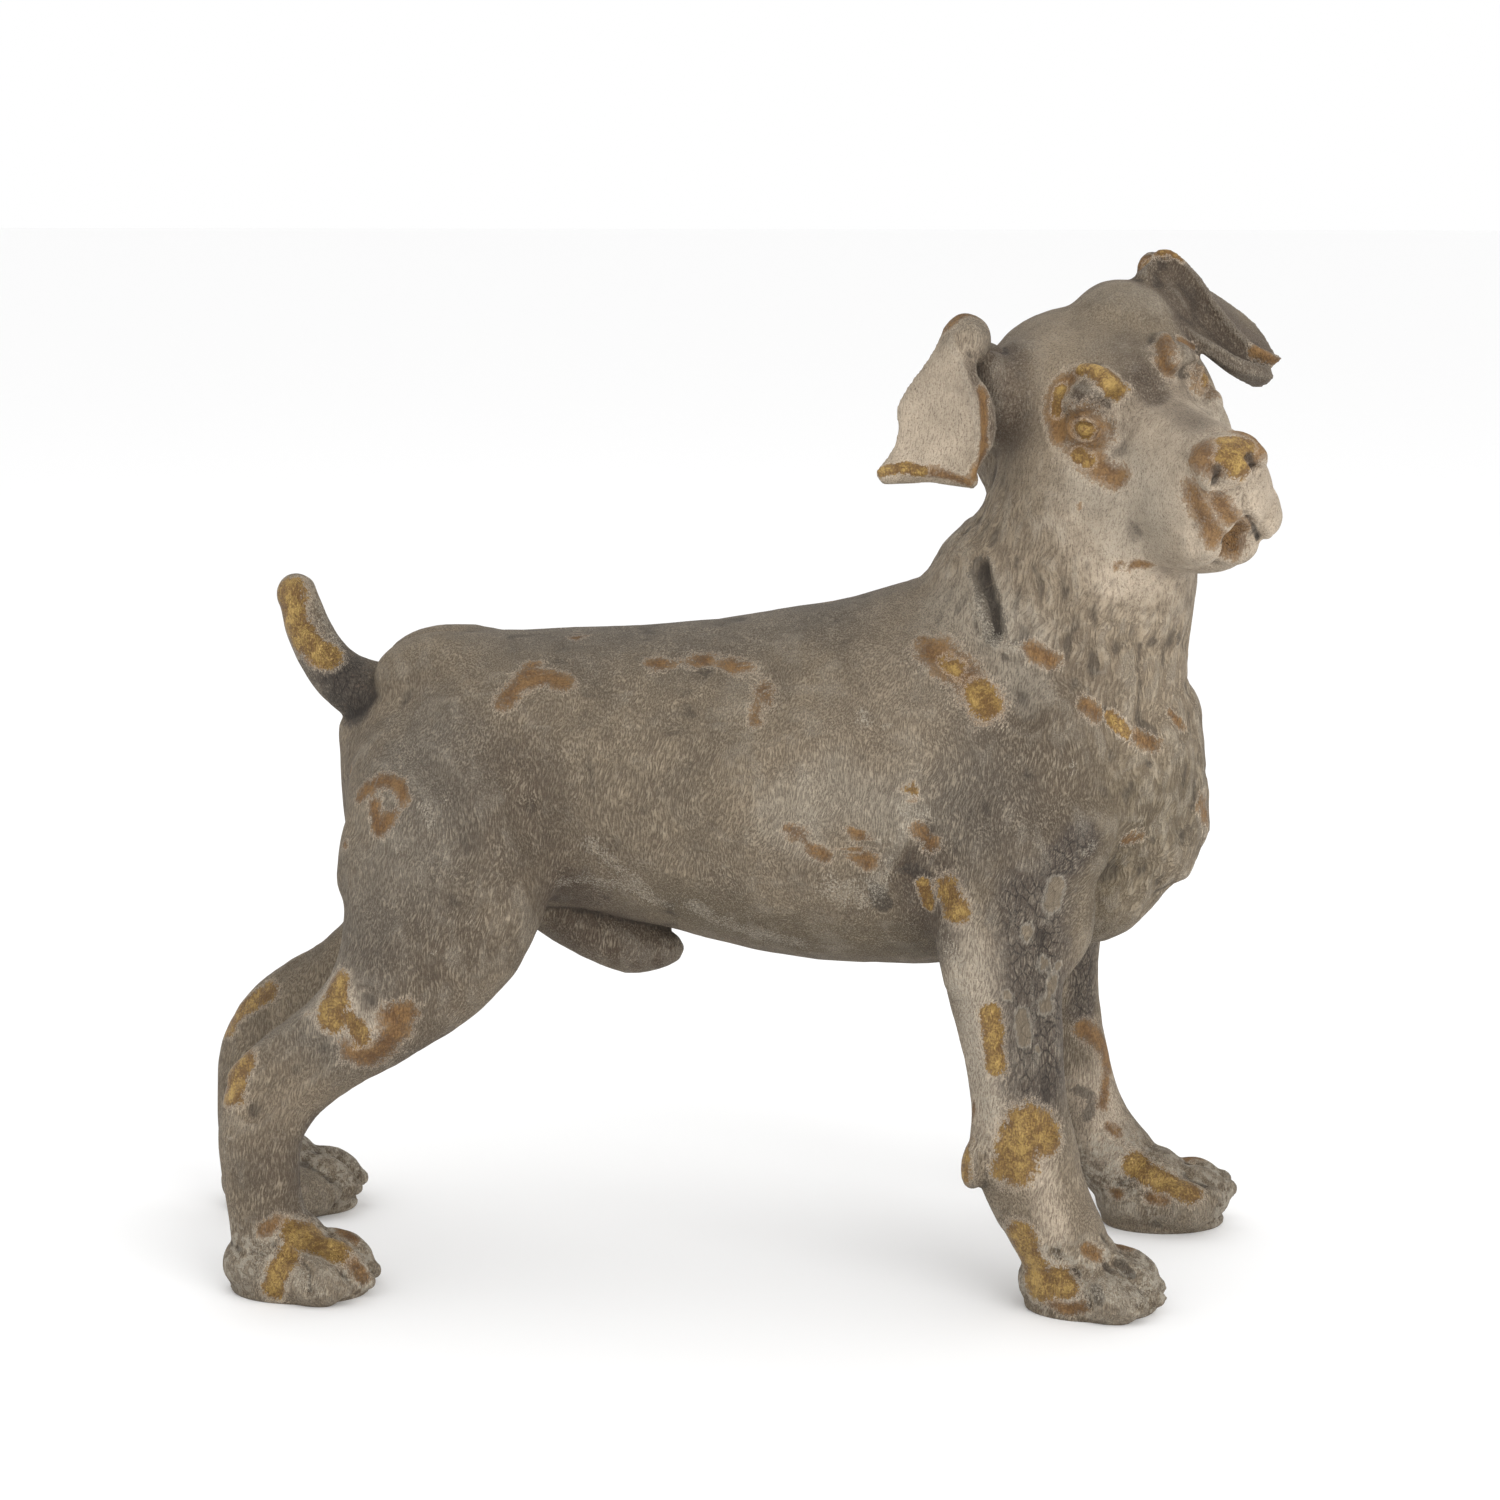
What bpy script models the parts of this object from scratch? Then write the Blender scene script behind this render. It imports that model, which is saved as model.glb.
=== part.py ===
# Standing terrier figure, cast in one piece of resin, at its real size.
# The dog faces +X, its left side is +Y, and it stands on the flat undersides of its four paws at Z = 0.

import math

import bmesh
import bpy
import numpy as np
from mathutils import Matrix, Vector

# Driving size: the top of the left ear stands this high above the table.
FIGURE_HEIGHT = 0.300

# Pose, proportions and carving are shares of that height. All places and radii below are counted in
# three-hundredths of it, so that one step is a millimetre on the real figure.
STEP = FIGURE_HEIGHT / 300

# How finely the masses are fused, how far their joins are rubbed smooth, and how many faces the cast keeps.
FUSE_CELL = 1.7 * STEP
RUB_BODY = 14
RUB_FORMS = 3
CAST_FACES = 8600

# The head is turned to the dog's right and cocked: its place between the eyes, and where it points.
HEAD_PLACE = (111, -22, 258)
HEAD_FORWARD = (0.512, -0.830, -0.219)
HEAD_LEFT = (0.842, 0.436, 0.318)

RING_SIDES = 28
BETWEEN_ROWS = 4


def clear_scene():
    for item in list(bpy.data.objects):
        bpy.data.objects.remove(item, do_unlink=True)


def curve_through(rows, between=BETWEEN_ROWS):
    """Rows of numbers and the rows between them, on a smooth curve through every one."""
    rows = np.array(rows, float)
    padded = np.vstack([2 * rows[0] - rows[1], rows, 2 * rows[-1] - rows[-2]])
    made = []
    for i in range(1, len(padded) - 2):
        before, here, there, after = padded[i - 1 : i + 3]
        for step in range(between):
            t = step / between
            made.append(
                0.5
                * (
                    2 * here
                    + (there - before) * t
                    + (2 * before - 5 * here + 4 * there - after) * t**2
                    + (3 * here - before - 3 * there + after) * t**3
                )
            )
    made.append(rows[-1])
    return np.array(made)


def new_object(name, form):
    """A bmesh made an object in the scene, with its faces turned outwards."""
    bmesh.ops.recalc_face_normals(form, faces=form.faces)
    mesh = bpy.data.meshes.new(name)
    form.to_mesh(mesh)
    form.free()
    item = bpy.data.objects.new(name, mesh)
    bpy.context.scene.collection.objects.link(item)
    return item


def close_end(form, ring, tip):
    """Closes a ring of vertices with a fan that meets at a point."""
    edges = [
        e
        for e in form.edges
        if e.verts[0] in ring and e.verts[1] in ring and len(e.link_faces) < 2
    ]
    made = bmesh.ops.extrude_edge_only(form, edges=edges)
    verts = [v for v in made["geom"] if isinstance(v, bmesh.types.BMVert)]
    bmesh.ops.pointmerge(form, verts=verts, merge_co=tip)


def limb(name, rows, sideways=(0, 1, 0), place=None):
    """A tapering round body drawn along rows of (x, y, z, half width sideways, half width the other way, egg).
    Egg above 0 makes a section narrower on its upper or rear side."""
    path = curve_through(rows)
    centres = path[:, :3]
    runs = np.gradient(centres, axis=0)
    form = bmesh.new()
    ring = bmesh.ops.create_circle(form, segments=RING_SIDES, radius=1.0)["verts"]
    edges = list(form.edges)
    first = None
    for row, run in zip(path, runs):
        centre, run = Vector(row[:3]), Vector(run).normalized()
        side = Vector(sideways)
        side = (side - side.dot(run) * run).normalized()
        other = run.cross(side)
        if first is not None:
            made = bmesh.ops.extrude_edge_only(form, edges=edges)["geom"]
            ring = [v for v in made if isinstance(v, bmesh.types.BMVert)]
            edges = [e for e in made if isinstance(e, bmesh.types.BMEdge) and e.is_boundary]
            # Only the new ring's own edges go on to the next section.
            edges = [e for e in edges if e.verts[0] in ring and e.verts[1] in ring]
        for i, vert in enumerate(ring):
            turn = 2 * math.pi * i / RING_SIDES
            egg = row[5] * math.sin(turn)
            vert.co = (
                centre
                + side * row[3] * (1 - egg) * math.cos(turn)
                + other * row[4] * math.sin(turn)
            )
        if first is None:
            first = list(ring)
    start, end = Vector(path[0][:3]), Vector(path[-1][:3])
    start_run, end_run = Vector(runs[0]).normalized(), Vector(runs[-1]).normalized()
    close_end(form, set(first), start - start_run * 0.55 * path[0][4])
    close_end(form, set(ring), end + end_run * 0.55 * path[-1][4])
    item = new_object(name, form)
    finish_place(item, place)
    return item


def finish_place(item, place):
    """Takes a form from its own frame, counted in steps, to its place on the figure, in metres."""
    item.data.transform(Matrix.Scale(STEP, 4) @ (place or Matrix.Identity(4)))


def mass(name, centre, radii, turn=(0, 0, 0), place=None):
    """An ellipsoid, turned by degrees about its own x, y and z."""
    form = bmesh.new()
    bmesh.ops.create_icosphere(form, subdivisions=4, radius=1.0)
    spin = (
        Matrix.Rotation(math.radians(turn[2]), 4, "Z")
        @ Matrix.Rotation(math.radians(turn[1]), 4, "Y")
        @ Matrix.Rotation(math.radians(turn[0]), 4, "X")
    )
    bmesh.ops.transform(
        form, matrix=Matrix.Translation(centre) @ spin @ Matrix.Diagonal((*radii, 1)), verts=form.verts
    )
    item = new_object(name, form)
    finish_place(item, place)
    return item


def head_frame():
    """From the head's own frame (forward, left, up, from between the eyes) to the figure's."""
    forward = Vector(HEAD_FORWARD).normalized()
    left = Vector(HEAD_LEFT)
    left = (left - left.dot(forward) * forward).normalized()
    up = forward.cross(left)
    turned = Matrix((forward, left, up)).transposed().to_4x4()
    return Matrix.Translation(HEAD_PLACE) @ turned


def torso():
    """Rump, loin, ribs and forechest, from back to front."""
    rows = [
        (-108, 0, 157, 22, 27, 0.0),
        (-99, 0, 153, 30, 35.5, 0.0),
        (-86, 0, 149.5, 34, 39.5, 0.0),
        (-66, 0, 149, 34, 41, 0.0),
        (-45, 0, 149, 33, 42, 0.0),
        (-20, 0, 147.5, 36, 45.5, 0.0),
        (10, 0, 146, 41, 51, 0.0),
        (38, 0, 147, 42, 54.5, 0.03),
        (64, 0, 151, 42, 57, 0.05),
        (86, 0, 151, 39, 54, 0.03),
        (103, 0, 149, 32, 47, 0.0),
        (117, 0, 146, 23, 35, 0.0),
        (125, 0, 144, 14, 19, 0.0),
    ]
    return limb("torso", rows)


def neck():
    """The thick neck, from inside the chest up into the skull."""
    rows = [
        (80, 0, 160, 38, 49, 0.0),
        (85, 0, 180, 36, 44, 0.0),
        (89, -1, 197, 33, 40, 0.0),
        (94, -3, 211, 31, 35, 0.0),
        (97, -5, 226, 30, 30, 0.0),
        (99, -3, 244, 27, 27, 0.0),
    ]
    return limb("neck", rows)


def skull(place):
    """Braincase, muzzle and jaw along the head's own axis, from the nape to behind the nose."""
    rows = [
        (-62, 0, -9, 14, 13, 0.0),
        (-54, 0, -9, 24, 21, 0.0),
        (-42, 0, -10, 30, 26, 0.0),
        (-28, 0, -12, 32, 28.5, 0.0),
        (-14, 0, -14, 30.5, 28.5, 0.0),
        (-4, 0, -16, 26, 25, 0.1),
        (5, 0, -17, 20.5, 21, 0.18),
        (15, 0, -16, 17.5, 19.5, 0.24),
        (27, 0, -14, 16, 17.5, 0.26),
        (36, 0, -12, 13.5, 15, 0.22),
        (41, 0, -10, 10, 11, 0.1),
    ]
    return limb("skull", rows, place=place)


def jaw(place):
    rows = [
        (-24, 0, -34, 22, 11, 0.0),
        (-8, 0, -37, 18, 10, 0.0),
        (8, 0, -37.5, 14, 9, 0.0),
        (20, 0, -36.5, 11.5, 8, 0.0),
        (28, 0, -34, 9.5, 7.5, 0.0),
        (33, 0, -32.5, 8, 6.5, 0.0),
    ]
    return limb("jaw", rows, place=place)


def face(place):
    """What stands out from the skull: cheeks, brows, eyes, lips and the nose pad."""
    forms = [mass("nose", (38.5, 0, -3.5), (8, 11, 7.5), (0, 8, 0), place=place)]
    for side in (-1, 1):
        forms += [
            mass("cheek", (-20, side * 19, -22), (25, 14, 21), place=place),
            mass("temple", (-30, side * 14, 3), (22, 16, 16.5), place=place),
            mass("jowl", (-38, side * 16, -20), (20, 18, 22), place=place),
            mass("brow", (-7.5, side * 12.5, 7), (9, 10, 5.5), (side * -20, -15, 0), place=place),
            mass("eye", (-8.5, side * 13.6, -1), (7, 7, 7), place=place),
            mass("cheekbone", (-2, side * 16.5, -12), (10, 6, 5), (0, 20, side * -25), place=place),
            mass("lip", (25, side * 9.5, -19), (17, 9, 14), (side * 14, 6, side * -7), place=place),
            mass("lip_end", (33, side * 8, -25), (9, 7.5, 10), (side * 14, -15, side * -7), place=place),
        ]
    return forms


# Each ear is a folded sheet. Every row, from the fold down to the tip, gives a place on its outer edge, on the
# sharp rim of the fold and on its inner edge, all in the head's frame.
RIGHT_EAR = [
    ((-36, -39.8, 30.0), (-33, -36.6, 32.8), (-34, -30.3, 28.2)),
    ((-37, -43.6, 21.3), (-28, -41.6, 26.0), (-30, -29.1, 23.5)),
    ((-38, -53.4, 13.1), (-22, -41.6, 17.6), (-24, -33.5, 17)),
    ((-38, -57.0, 9.0), (-18, -44.0, 10.1), (-20, -35.8, 11)),
    ((-36, -59.4, 2.2), (-15, -46.5, 3.5), (-16, -39.1, 3.3)),
    ((-34, -63.3, -0.9), (-13, -49.0, -2.0), (-15, -41.5, -1.5)),
    ((-32, -70.2, -4.0), (-12, -51.1, -6.9), (-13, -46.5, -7.0)),
]
LEFT_EAR = [
    ((-41, 25, 17), (-38, 25.5, 18.5), (-32, 20.5, 17.5)),
    ((-43, 33, 19.5), (-36, 30.6, 23.4), (-27, 23.5, 15.6)),
    ((-44, 41, 16.5), (-33, 34.4, 23.3), (-21, 25.0, 10.9)),
    ((-42, 48, 6.5), (-29, 39.2, 15.0), (-16, 28.5, 5.5)),
    ((-38, 54, 0), (-22, 41.0, 5.8), (-13, 34.0, 0.6)),
    ((-32, 58, -6), (-16, 45.2, -3.9), (-10, 39.5, -4.4)),
    ((-27, 58.5, -10.5), (-13, 53.0, -10.8), (-10.5, 48.5, -10.0)),
]
EAR_THICKNESS = 4.4


def ear(name, rows, cup, place):
    """A sheet through the rows, hollowed between its rim and its inner edge by cup, and given its thickness."""
    outer, rim, inner = (curve_through([row[i] for row in rows], 3) for i in range(3))
    along = np.gradient(rim, axis=0)
    places = []
    for i in range(len(rim)):
        across = inner[i] - rim[i]
        back = np.cross(along[i], across)
        back *= -math.copysign(1, back[0]) / np.linalg.norm(back)
        row = [outer[i] + (rim[i] - outer[i]) * t for t in (0, 0.25, 0.5, 0.75)]
        row.append(rim[i])
        row += [rim[i] + across * t + back * cup * math.sin(math.pi * t) for t in (0.25, 0.5, 0.75, 1)]
        places.append(row)
    form = bmesh.new()
    wide, tall = len(places[0]), len(places)
    bmesh.ops.create_grid(form, x_segments=wide - 1, y_segments=tall - 1, size=1)
    form.verts.ensure_lookup_table()
    for n, vert in enumerate(form.verts):
        vert.co = places[n // wide][n % wide]
    form.normal_update()
    front = sum((face.normal for face in form.faces), Vector())
    if front.x < 0:
        bmesh.ops.reverse_faces(form, faces=form.faces)
    bmesh.ops.solidify(form, geom=form.faces[:], thickness=EAR_THICKNESS)
    item = new_object(name, form)
    finish_place(item, place)
    return item


def ears(place):
    """Both ears, with the thick rolled edges that the casting gives them."""
    right_rim = [(*row[1], 1.7, 1.7, 0) for row in RIGHT_EAR[1:]]
    right_hem = [
        (-31, -68.5, -6, 2.2, 2.2, 0),
        (-30, -62.0, -7.5, 2.6, 2.6, 0),
        (-25, -56.5, -7.5, 2.7, 2.7, 0),
        (-19, -52.0, -8.5, 2.6, 2.6, 0),
        (-14, -49.0, -9.0, 2.4, 2.4, 0),
    ]
    left_rim = [(*row[1], 2.2, 2.2, 0) for row in LEFT_EAR]
    left_edge = [(*row[2], 1.8, 1.8, 0) for row in LEFT_EAR[1:]]
    return [
        limb("right_rim", right_rim, (1, 0, 0), place),
        limb("right_hem", right_hem, (0, 0, 1), place),
        limb("left_rim", left_rim, (1, 0, 0), place),
        limb("left_edge", left_edge, (1, 0, 0), place),
        ear("ear_right", RIGHT_EAR, 1.0, place),
        ear("ear_left", LEFT_EAR, 3.5, place),
        mass("ear_root_right", (-33, -31, 12), (8, 8, 13), (20, 0, 0), place=place),
        mass("ear_root_left", (-36, 28, 9), (8, 9, 12), (-20, 0, 0), place=place),
    ]


def hind_leg(name, side, rows):
    """One hind leg from hip to pastern. Its rows give places on the dog's side away from the middle."""
    rows = [(x, side * y, z, wide, deep, 0.0) for x, y, z, wide, deep in rows]
    return limb(name, rows)


NEAR_HIND = [
    (-86, 22, 156, 13, 22),
    (-86, 25, 142, 15, 27),
    (-87, 28, 126, 16, 30),
    (-88, 30, 111, 16, 29),
    (-95, 32, 97, 15, 23.5),
    (-105, 34, 84.5, 13, 17.5),
    (-118, 35, 74, 11.5, 14),
    (-131, 35, 63, 10.5, 13),
    (-138, 35, 51, 10, 12),
    (-139, 35, 38, 10, 11),
    (-139, 35, 26, 10.5, 11),
    (-137, 35, 14, 12, 12),
]
FAR_HIND = [
    (-86, 22, 156, 13, 22),
    (-87, 25, 142, 15, 27),
    (-89, 28, 126, 16, 30),
    (-92, 31, 111, 16, 28),
    (-100, 34, 97, 15, 23.5),
    (-113, 37, 84, 13, 18),
    (-131, 39, 71, 11.5, 14.5),
    (-149, 40, 60, 10.5, 13),
    (-158, 40, 48, 10, 12),
    (-160, 40, 36, 10, 11),
    (-160, 40, 25, 10.5, 11),
    (-157, 40, 14, 12, 12),
]
NEAR_FORE = [
    (84, 30, 150, 13, 24),
    (78, 33, 132, 14, 23),
    (73, 35, 114, 13, 19.5),
    (74.5, 36, 95, 11.5, 16.5),
    (77, 37, 78, 11, 14.5),
    (79, 37, 62, 10.5, 14),
    (80.5, 36, 48, 11, 15.5),
    (84, 35, 36, 10.5, 14.5),
    (89, 34, 26, 11.5, 13.5),
    (94, 34, 15, 13, 13),
]
FAR_FORE = [
    (88, 30, 150, 13, 24),
    (86, 33, 132, 14, 23),
    (87, 37, 114, 13, 19),
    (90, 39, 95, 11.5, 15),
    (91, 41, 78, 11, 13.5),
    (93.5, 43, 62, 10.5, 12.8),
    (96, 44, 48, 11, 13),
    (100, 44, 36, 10.5, 12.5),
    (106, 44, 26, 11.5, 12),
    (114, 44, 15, 13, 13),
]


def paw(name, tip_x, y, length, aim=0.0, rise=0.0):
    """A paw: palm, sole and four clawed toes, pointing forward and turned out by aim degrees. Rise lifts the claws."""
    turned = Matrix.Translation((tip_x, y, 0)) @ Matrix.Rotation(math.radians(aim), 4, "Z")
    forms = [
        mass(name + "_palm", (-length * 0.64, 0, 8), (length * 0.35, 13, 11), place=turned),
        mass(name + "_instep", (-length * 0.56, 0, 14), (length * 0.25, 12, 10), (0, 25, 0), place=turned),
        mass(name + "_sole", (-length * 0.5, 0, 1), (length * 0.45, 13, 4), place=turned),
    ]
    for across, back, height in ((-11.0, -18.5, 8.6), (-4.2, -13.0, 10.0), (4.2, -13.0, 10.0), (11.0, -18.5, 8.6)):
        spread = across * 0.8
        forms += [
            mass(
                name + "_toe",
                (back, across, height * 0.8 + rise * 0.3),
                (11.5, 5.2, height * 0.92),
                (0, 14 - rise, spread),
                place=turned,
            ),
            mass(
                name + "_claw",
                (back + 10.8, across * 1.06, 5 + rise),
                (3.6, 1.8, 2.4),
                (0, 20 - rise, spread),
                place=turned,
            ),
        ]
    return forms


def muscles():
    """Shoulder blades, upper arms, thighs and buttocks, standing a little proud of the trunk and legs."""
    forms = []
    for side, shoulder, hip in ((-1, 0, 0), (1, 6, -2)):
        forms += [
            mass("shoulder", (80 + shoulder * 0.5, side * 27, 152), (22, 15, 40), (0, 16, 0)),
            mass("upper_arm", (80 + shoulder, side * 31, 118), (20, 13, 25), (0, -10, 0)),
            mass("thigh", (-84 + hip, side * 25, 128), (31, 17, 40), (0, 8, 0)),
            mass("buttock", (-97 + hip, side * 18, 136), (19, 14, 33)),
        ]
    forms.append(mass("brisket", (99, 0, 124), (24.5, 24, 26), (0, 20, 0)))
    return forms


def tail():
    """The docked tail, carried up and back."""
    rows = [
        (-98, 0, 168, 9, 9, 0.0),
        (-109, 0, 170, 9, 9.5, 0.0),
        (-118, 0, 174, 8.2, 8.6, 0.0),
        (-125, 0, 181.5, 7, 7.2, 0.0),
        (-129.5, 0, 190, 6.4, 6.6, 0.0),
        (-132, 0, 199, 5.8, 5.8, 0.0),
    ]
    return limb("tail", rows)


def sheath():
    rows = [
        (-66, 0, 114, 8, 9, 0.0),
        (-54, 0, 106, 8.5, 9.5, 0.0),
        (-43, 0, 100, 8.5, 9.5, 0.0),
        (-34, 0, 96.5, 8, 9, 0.0),
        (-27, 0, 96, 6, 6.5, 0.0),
    ]
    return limb("sheath", rows)


def fuse(name, items, cell, rub):
    """Several forms made one closed skin, with the joins rubbed smooth. The forms are used up."""
    form = bmesh.new()
    for item in items:
        form.from_mesh(item.data)
    joined = new_object_keep(name, form)
    for item in items:
        bpy.data.objects.remove(item, do_unlink=True)
    skin = joined.modifiers.new("fuse", "REMESH")
    skin.mode = "VOXEL"
    skin.voxel_size = cell
    if rub:
        soft = joined.modifiers.new("rub", "SMOOTH")
        soft.factor = 0.5
        soft.iterations = rub
    bake(joined)
    return joined


def new_object_keep(name, form):
    mesh = bpy.data.meshes.new(name)
    form.to_mesh(mesh)
    form.free()
    item = bpy.data.objects.new(name, mesh)
    bpy.context.scene.collection.objects.link(item)
    return item


def bake(item):
    """Applies an object's modifiers to its mesh."""
    bpy.context.view_layer.update()
    graph = bpy.context.evaluated_depsgraph_get()
    made = bpy.data.meshes.new_from_object(item.evaluated_get(graph))
    item.modifiers.clear()
    item.data = made


def strokes(place):
    """The sculptor's strokes: (places along the stroke, its radius, how far it is pushed in or pulled out)."""

    def turned(points):
        return [place @ Vector(p) for p in points]

    made = []
    for side in (-1, 1):
        lip = [(40, 2, -20), (38, 5, -25), (34, 9, -30), (28, 13, -33)]
        made.append((turned([(a, side * b, c) for a, b, c in lip]), 3.6, -2.6))
        socket = [(3, 11, 1), (4, 13, -5), (1, 17, -7.5)]
        made.append((turned([(a, side * b, c) for a, b, c in socket]), 4.5, -1.6))
        brow_line = [(-10, 19, 5), (-4, 18.5, 4.5), (0, 15.5, 4.5)]
        made.append((turned([(a, side * b, c) for a, b, c in brow_line]), 2.6, -1.2))
    # The fold of the neck behind the cheek, the front of the right shoulder and the right armpit.
    made.append(([(72, -38, 197), (75, -39, 185), (80, -38, 174)], 7, -3.2))
    made.append(([(63, -44, 146), (58, -45, 132), (54, -44, 120), (54, -42, 108)], 8, -3.0))
    made.append(([(63, 44, 146), (60, 45, 132), (58, 44, 118)], 8, -3.0))
    return made


def carve(item, made):
    """Pushes the skin in, or pulls it out, along each stroke."""
    mesh = item.data
    count = len(mesh.vertices)
    places = np.empty(count * 3)
    mesh.vertices.foreach_get("co", places)
    places = places.reshape(-1, 3)
    for path, radius, height in made:
        path = np.array([tuple(p) for p in path]) * STEP
        radius, height = radius * STEP, height * STEP
        normals = np.empty(count * 3, np.float32)
        mesh.vertex_normals.foreach_get("vector", normals)
        normals = normals.reshape(-1, 3)
        near = np.full(count, np.inf)
        for start, end in zip(path[:-1], path[1:]):
            run = end - start
            t = np.clip((places - start) @ run / (run @ run), 0, 1)
            near = np.minimum(near, np.linalg.norm(places - start - t[:, None] * run, axis=1))
        weight = np.clip(1 - (near / radius) ** 2, 0, 1) ** 2
        places += normals * (weight * height)[:, None]
        mesh.vertices.foreach_set("co", places.ravel())
        mesh.update()


def thin_out(item, faces):
    """Fewer triangles, kept where the form turns."""
    total = sum(len(p.vertices) - 2 for p in item.data.polygons)
    thin = item.modifiers.new("thin", "DECIMATE")
    thin.ratio = faces / total
    bake(item)


def stand(item):
    """Cuts the paws flat on the table and moves the figure's middle to the origin."""
    form = bmesh.new()
    form.from_mesh(item.data)
    whole = form.verts[:] + form.edges[:] + form.faces[:]
    cut = bmesh.ops.bisect_plane(form, geom=whole, plane_co=(0, 0, 0), plane_no=(0, 0, 1), clear_inner=True)
    rims = [e for e in cut["geom_cut"] if isinstance(e, bmesh.types.BMEdge)]
    bmesh.ops.remove_doubles(form, verts=list({v for e in rims for v in e.verts}), dist=0.2 * STEP)
    rims = [e for e in form.edges if e.is_boundary]
    bmesh.ops.contextual_create(form, geom=rims)
    bmesh.ops.recalc_face_normals(form, faces=form.faces)
    low = Vector(min(v.co[i] for v in form.verts) for i in range(3))
    high = Vector(max(v.co[i] for v in form.verts) for i in range(3))
    middle = (low + high) / 2
    bmesh.ops.translate(form, verts=form.verts, vec=(-middle.x, -middle.y, 0))
    for face in form.faces:
        face.smooth = face.normal.z > -0.999
    form.to_mesh(item.data)
    form.free()
    return middle


def weathered_resin():
    """The cast's own material: chalky grey-brown paint on resin."""
    paint = bpy.data.materials.new("weathered_resin")
    paint.use_nodes = True
    shader = paint.node_tree.nodes["Principled BSDF"]
    shader.inputs["Base Color"].default_value = (0.27, 0.235, 0.195, 1)
    shader.inputs["Roughness"].default_value = 0.75
    shader.inputs["Metallic"].default_value = 0.0
    return paint


def build():
    clear_scene()
    head = head_frame()
    body = [
        torso(),
        neck(),
        hind_leg("hind_right", -1, NEAR_HIND),
        hind_leg("hind_left", 1, FAR_HIND),
        hind_leg("fore_right", -1, NEAR_FORE),
        hind_leg("fore_left", 1, FAR_FORE),
        skull(head),
        jaw(head),
    ]
    body += muscles()
    forms = [fuse("trunk", body, FUSE_CELL, RUB_BODY), tail(), sheath()]
    forms += face(head)
    forms += ears(head)
    forms += paw("paw_hind_right", -106, -36, 46)
    forms += paw("paw_hind_left", -124, 37, 46, 0, 3)
    forms += paw("paw_fore_right", 122, -34, 43)
    forms += paw("paw_fore_left", 147, 43, 43, 6, 7)
    for side, x in ((-1, 69), (1, 87)):
        forms.append(mass("carpal_pad", (x, side * 39, 38), (6.5, 6, 7.5), (0, -20, 0)))
    figure = fuse("dog_figure", forms, FUSE_CELL, RUB_FORMS)
    carve(figure, strokes(head))
    thin_out(figure, CAST_FACES)
    figure.data.materials.append(weathered_resin())
    return figure, stand(figure)


figure, middle = build()
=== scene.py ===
import math

import bmesh
import bpy
import numpy as np
from mathutils import Matrix, Vector, noise


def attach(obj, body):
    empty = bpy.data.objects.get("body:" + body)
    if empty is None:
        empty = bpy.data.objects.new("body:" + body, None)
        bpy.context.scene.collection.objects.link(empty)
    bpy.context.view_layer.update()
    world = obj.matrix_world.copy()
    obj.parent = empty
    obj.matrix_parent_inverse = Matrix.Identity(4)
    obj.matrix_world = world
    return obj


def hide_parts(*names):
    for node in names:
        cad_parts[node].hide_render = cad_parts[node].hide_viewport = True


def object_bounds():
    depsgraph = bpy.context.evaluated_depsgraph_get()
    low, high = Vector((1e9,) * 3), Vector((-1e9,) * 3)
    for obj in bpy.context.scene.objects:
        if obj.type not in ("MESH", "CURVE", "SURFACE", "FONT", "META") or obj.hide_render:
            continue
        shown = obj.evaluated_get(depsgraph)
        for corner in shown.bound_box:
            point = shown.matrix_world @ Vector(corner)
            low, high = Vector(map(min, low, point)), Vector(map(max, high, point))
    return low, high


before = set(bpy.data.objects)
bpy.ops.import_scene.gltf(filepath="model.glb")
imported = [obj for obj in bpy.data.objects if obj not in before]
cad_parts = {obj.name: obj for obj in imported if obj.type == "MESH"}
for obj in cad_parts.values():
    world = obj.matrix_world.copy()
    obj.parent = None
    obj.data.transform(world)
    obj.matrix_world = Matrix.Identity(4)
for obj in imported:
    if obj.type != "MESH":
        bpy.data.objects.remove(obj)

cad_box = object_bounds()

# The trunk and neck.
# The figure was first modelled in clay, and the clay was built up from big round masses. This is the barrel of
# the trunk, from the rump to the forechest, and the thick neck that carries the turned head.
# Places are counted in steps of a three-hundredth of the figure's height, which is a millimetre on this cast.
FIGURE_HEIGHT = 0.300
STEP = FIGURE_HEIGHT / 300
RING_SIDES = 28


def curve_through(rows, between=4):
    """Rows of numbers and the rows between them, on a smooth curve through every one."""
    rows = np.array(rows, float)
    padded = np.vstack([2 * rows[0] - rows[1], rows, 2 * rows[-1] - rows[-2]])
    made = []
    for i in range(1, len(padded) - 2):
        before, here, there, after = padded[i - 1 : i + 3]
        for step in range(between):
            t = step / between
            bend = (2 * before - 5 * here + 4 * there - after) * t**2
            turn = (3 * here - before - 3 * there + after) * t**3
            made.append(0.5 * (2 * here + (there - before) * t + bend + turn))
    made.append(rows[-1])
    return np.array(made)


def clay(name, form, place=None):
    """A bmesh made an object, taken from its own frame, counted in steps, to its place on the figure."""
    bmesh.ops.recalc_face_normals(form, faces=form.faces)
    mesh = bpy.data.meshes.new(name)
    form.to_mesh(mesh)
    form.free()
    mesh.transform(Matrix.Scale(STEP, 4) @ (place or Matrix.Identity(4)))
    item = bpy.data.objects.new(name, mesh)
    bpy.context.scene.collection.objects.link(item)
    return item


def close_end(form, ring, tip):
    """Closes a ring of vertices with a fan that meets at a point."""
    edges = [e for e in form.edges if e.is_boundary and e.verts[0] in ring and e.verts[1] in ring]
    made = bmesh.ops.extrude_edge_only(form, edges=edges)["geom"]
    verts = [v for v in made if isinstance(v, bmesh.types.BMVert)]
    bmesh.ops.pointmerge(form, verts=verts, merge_co=tip)


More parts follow.
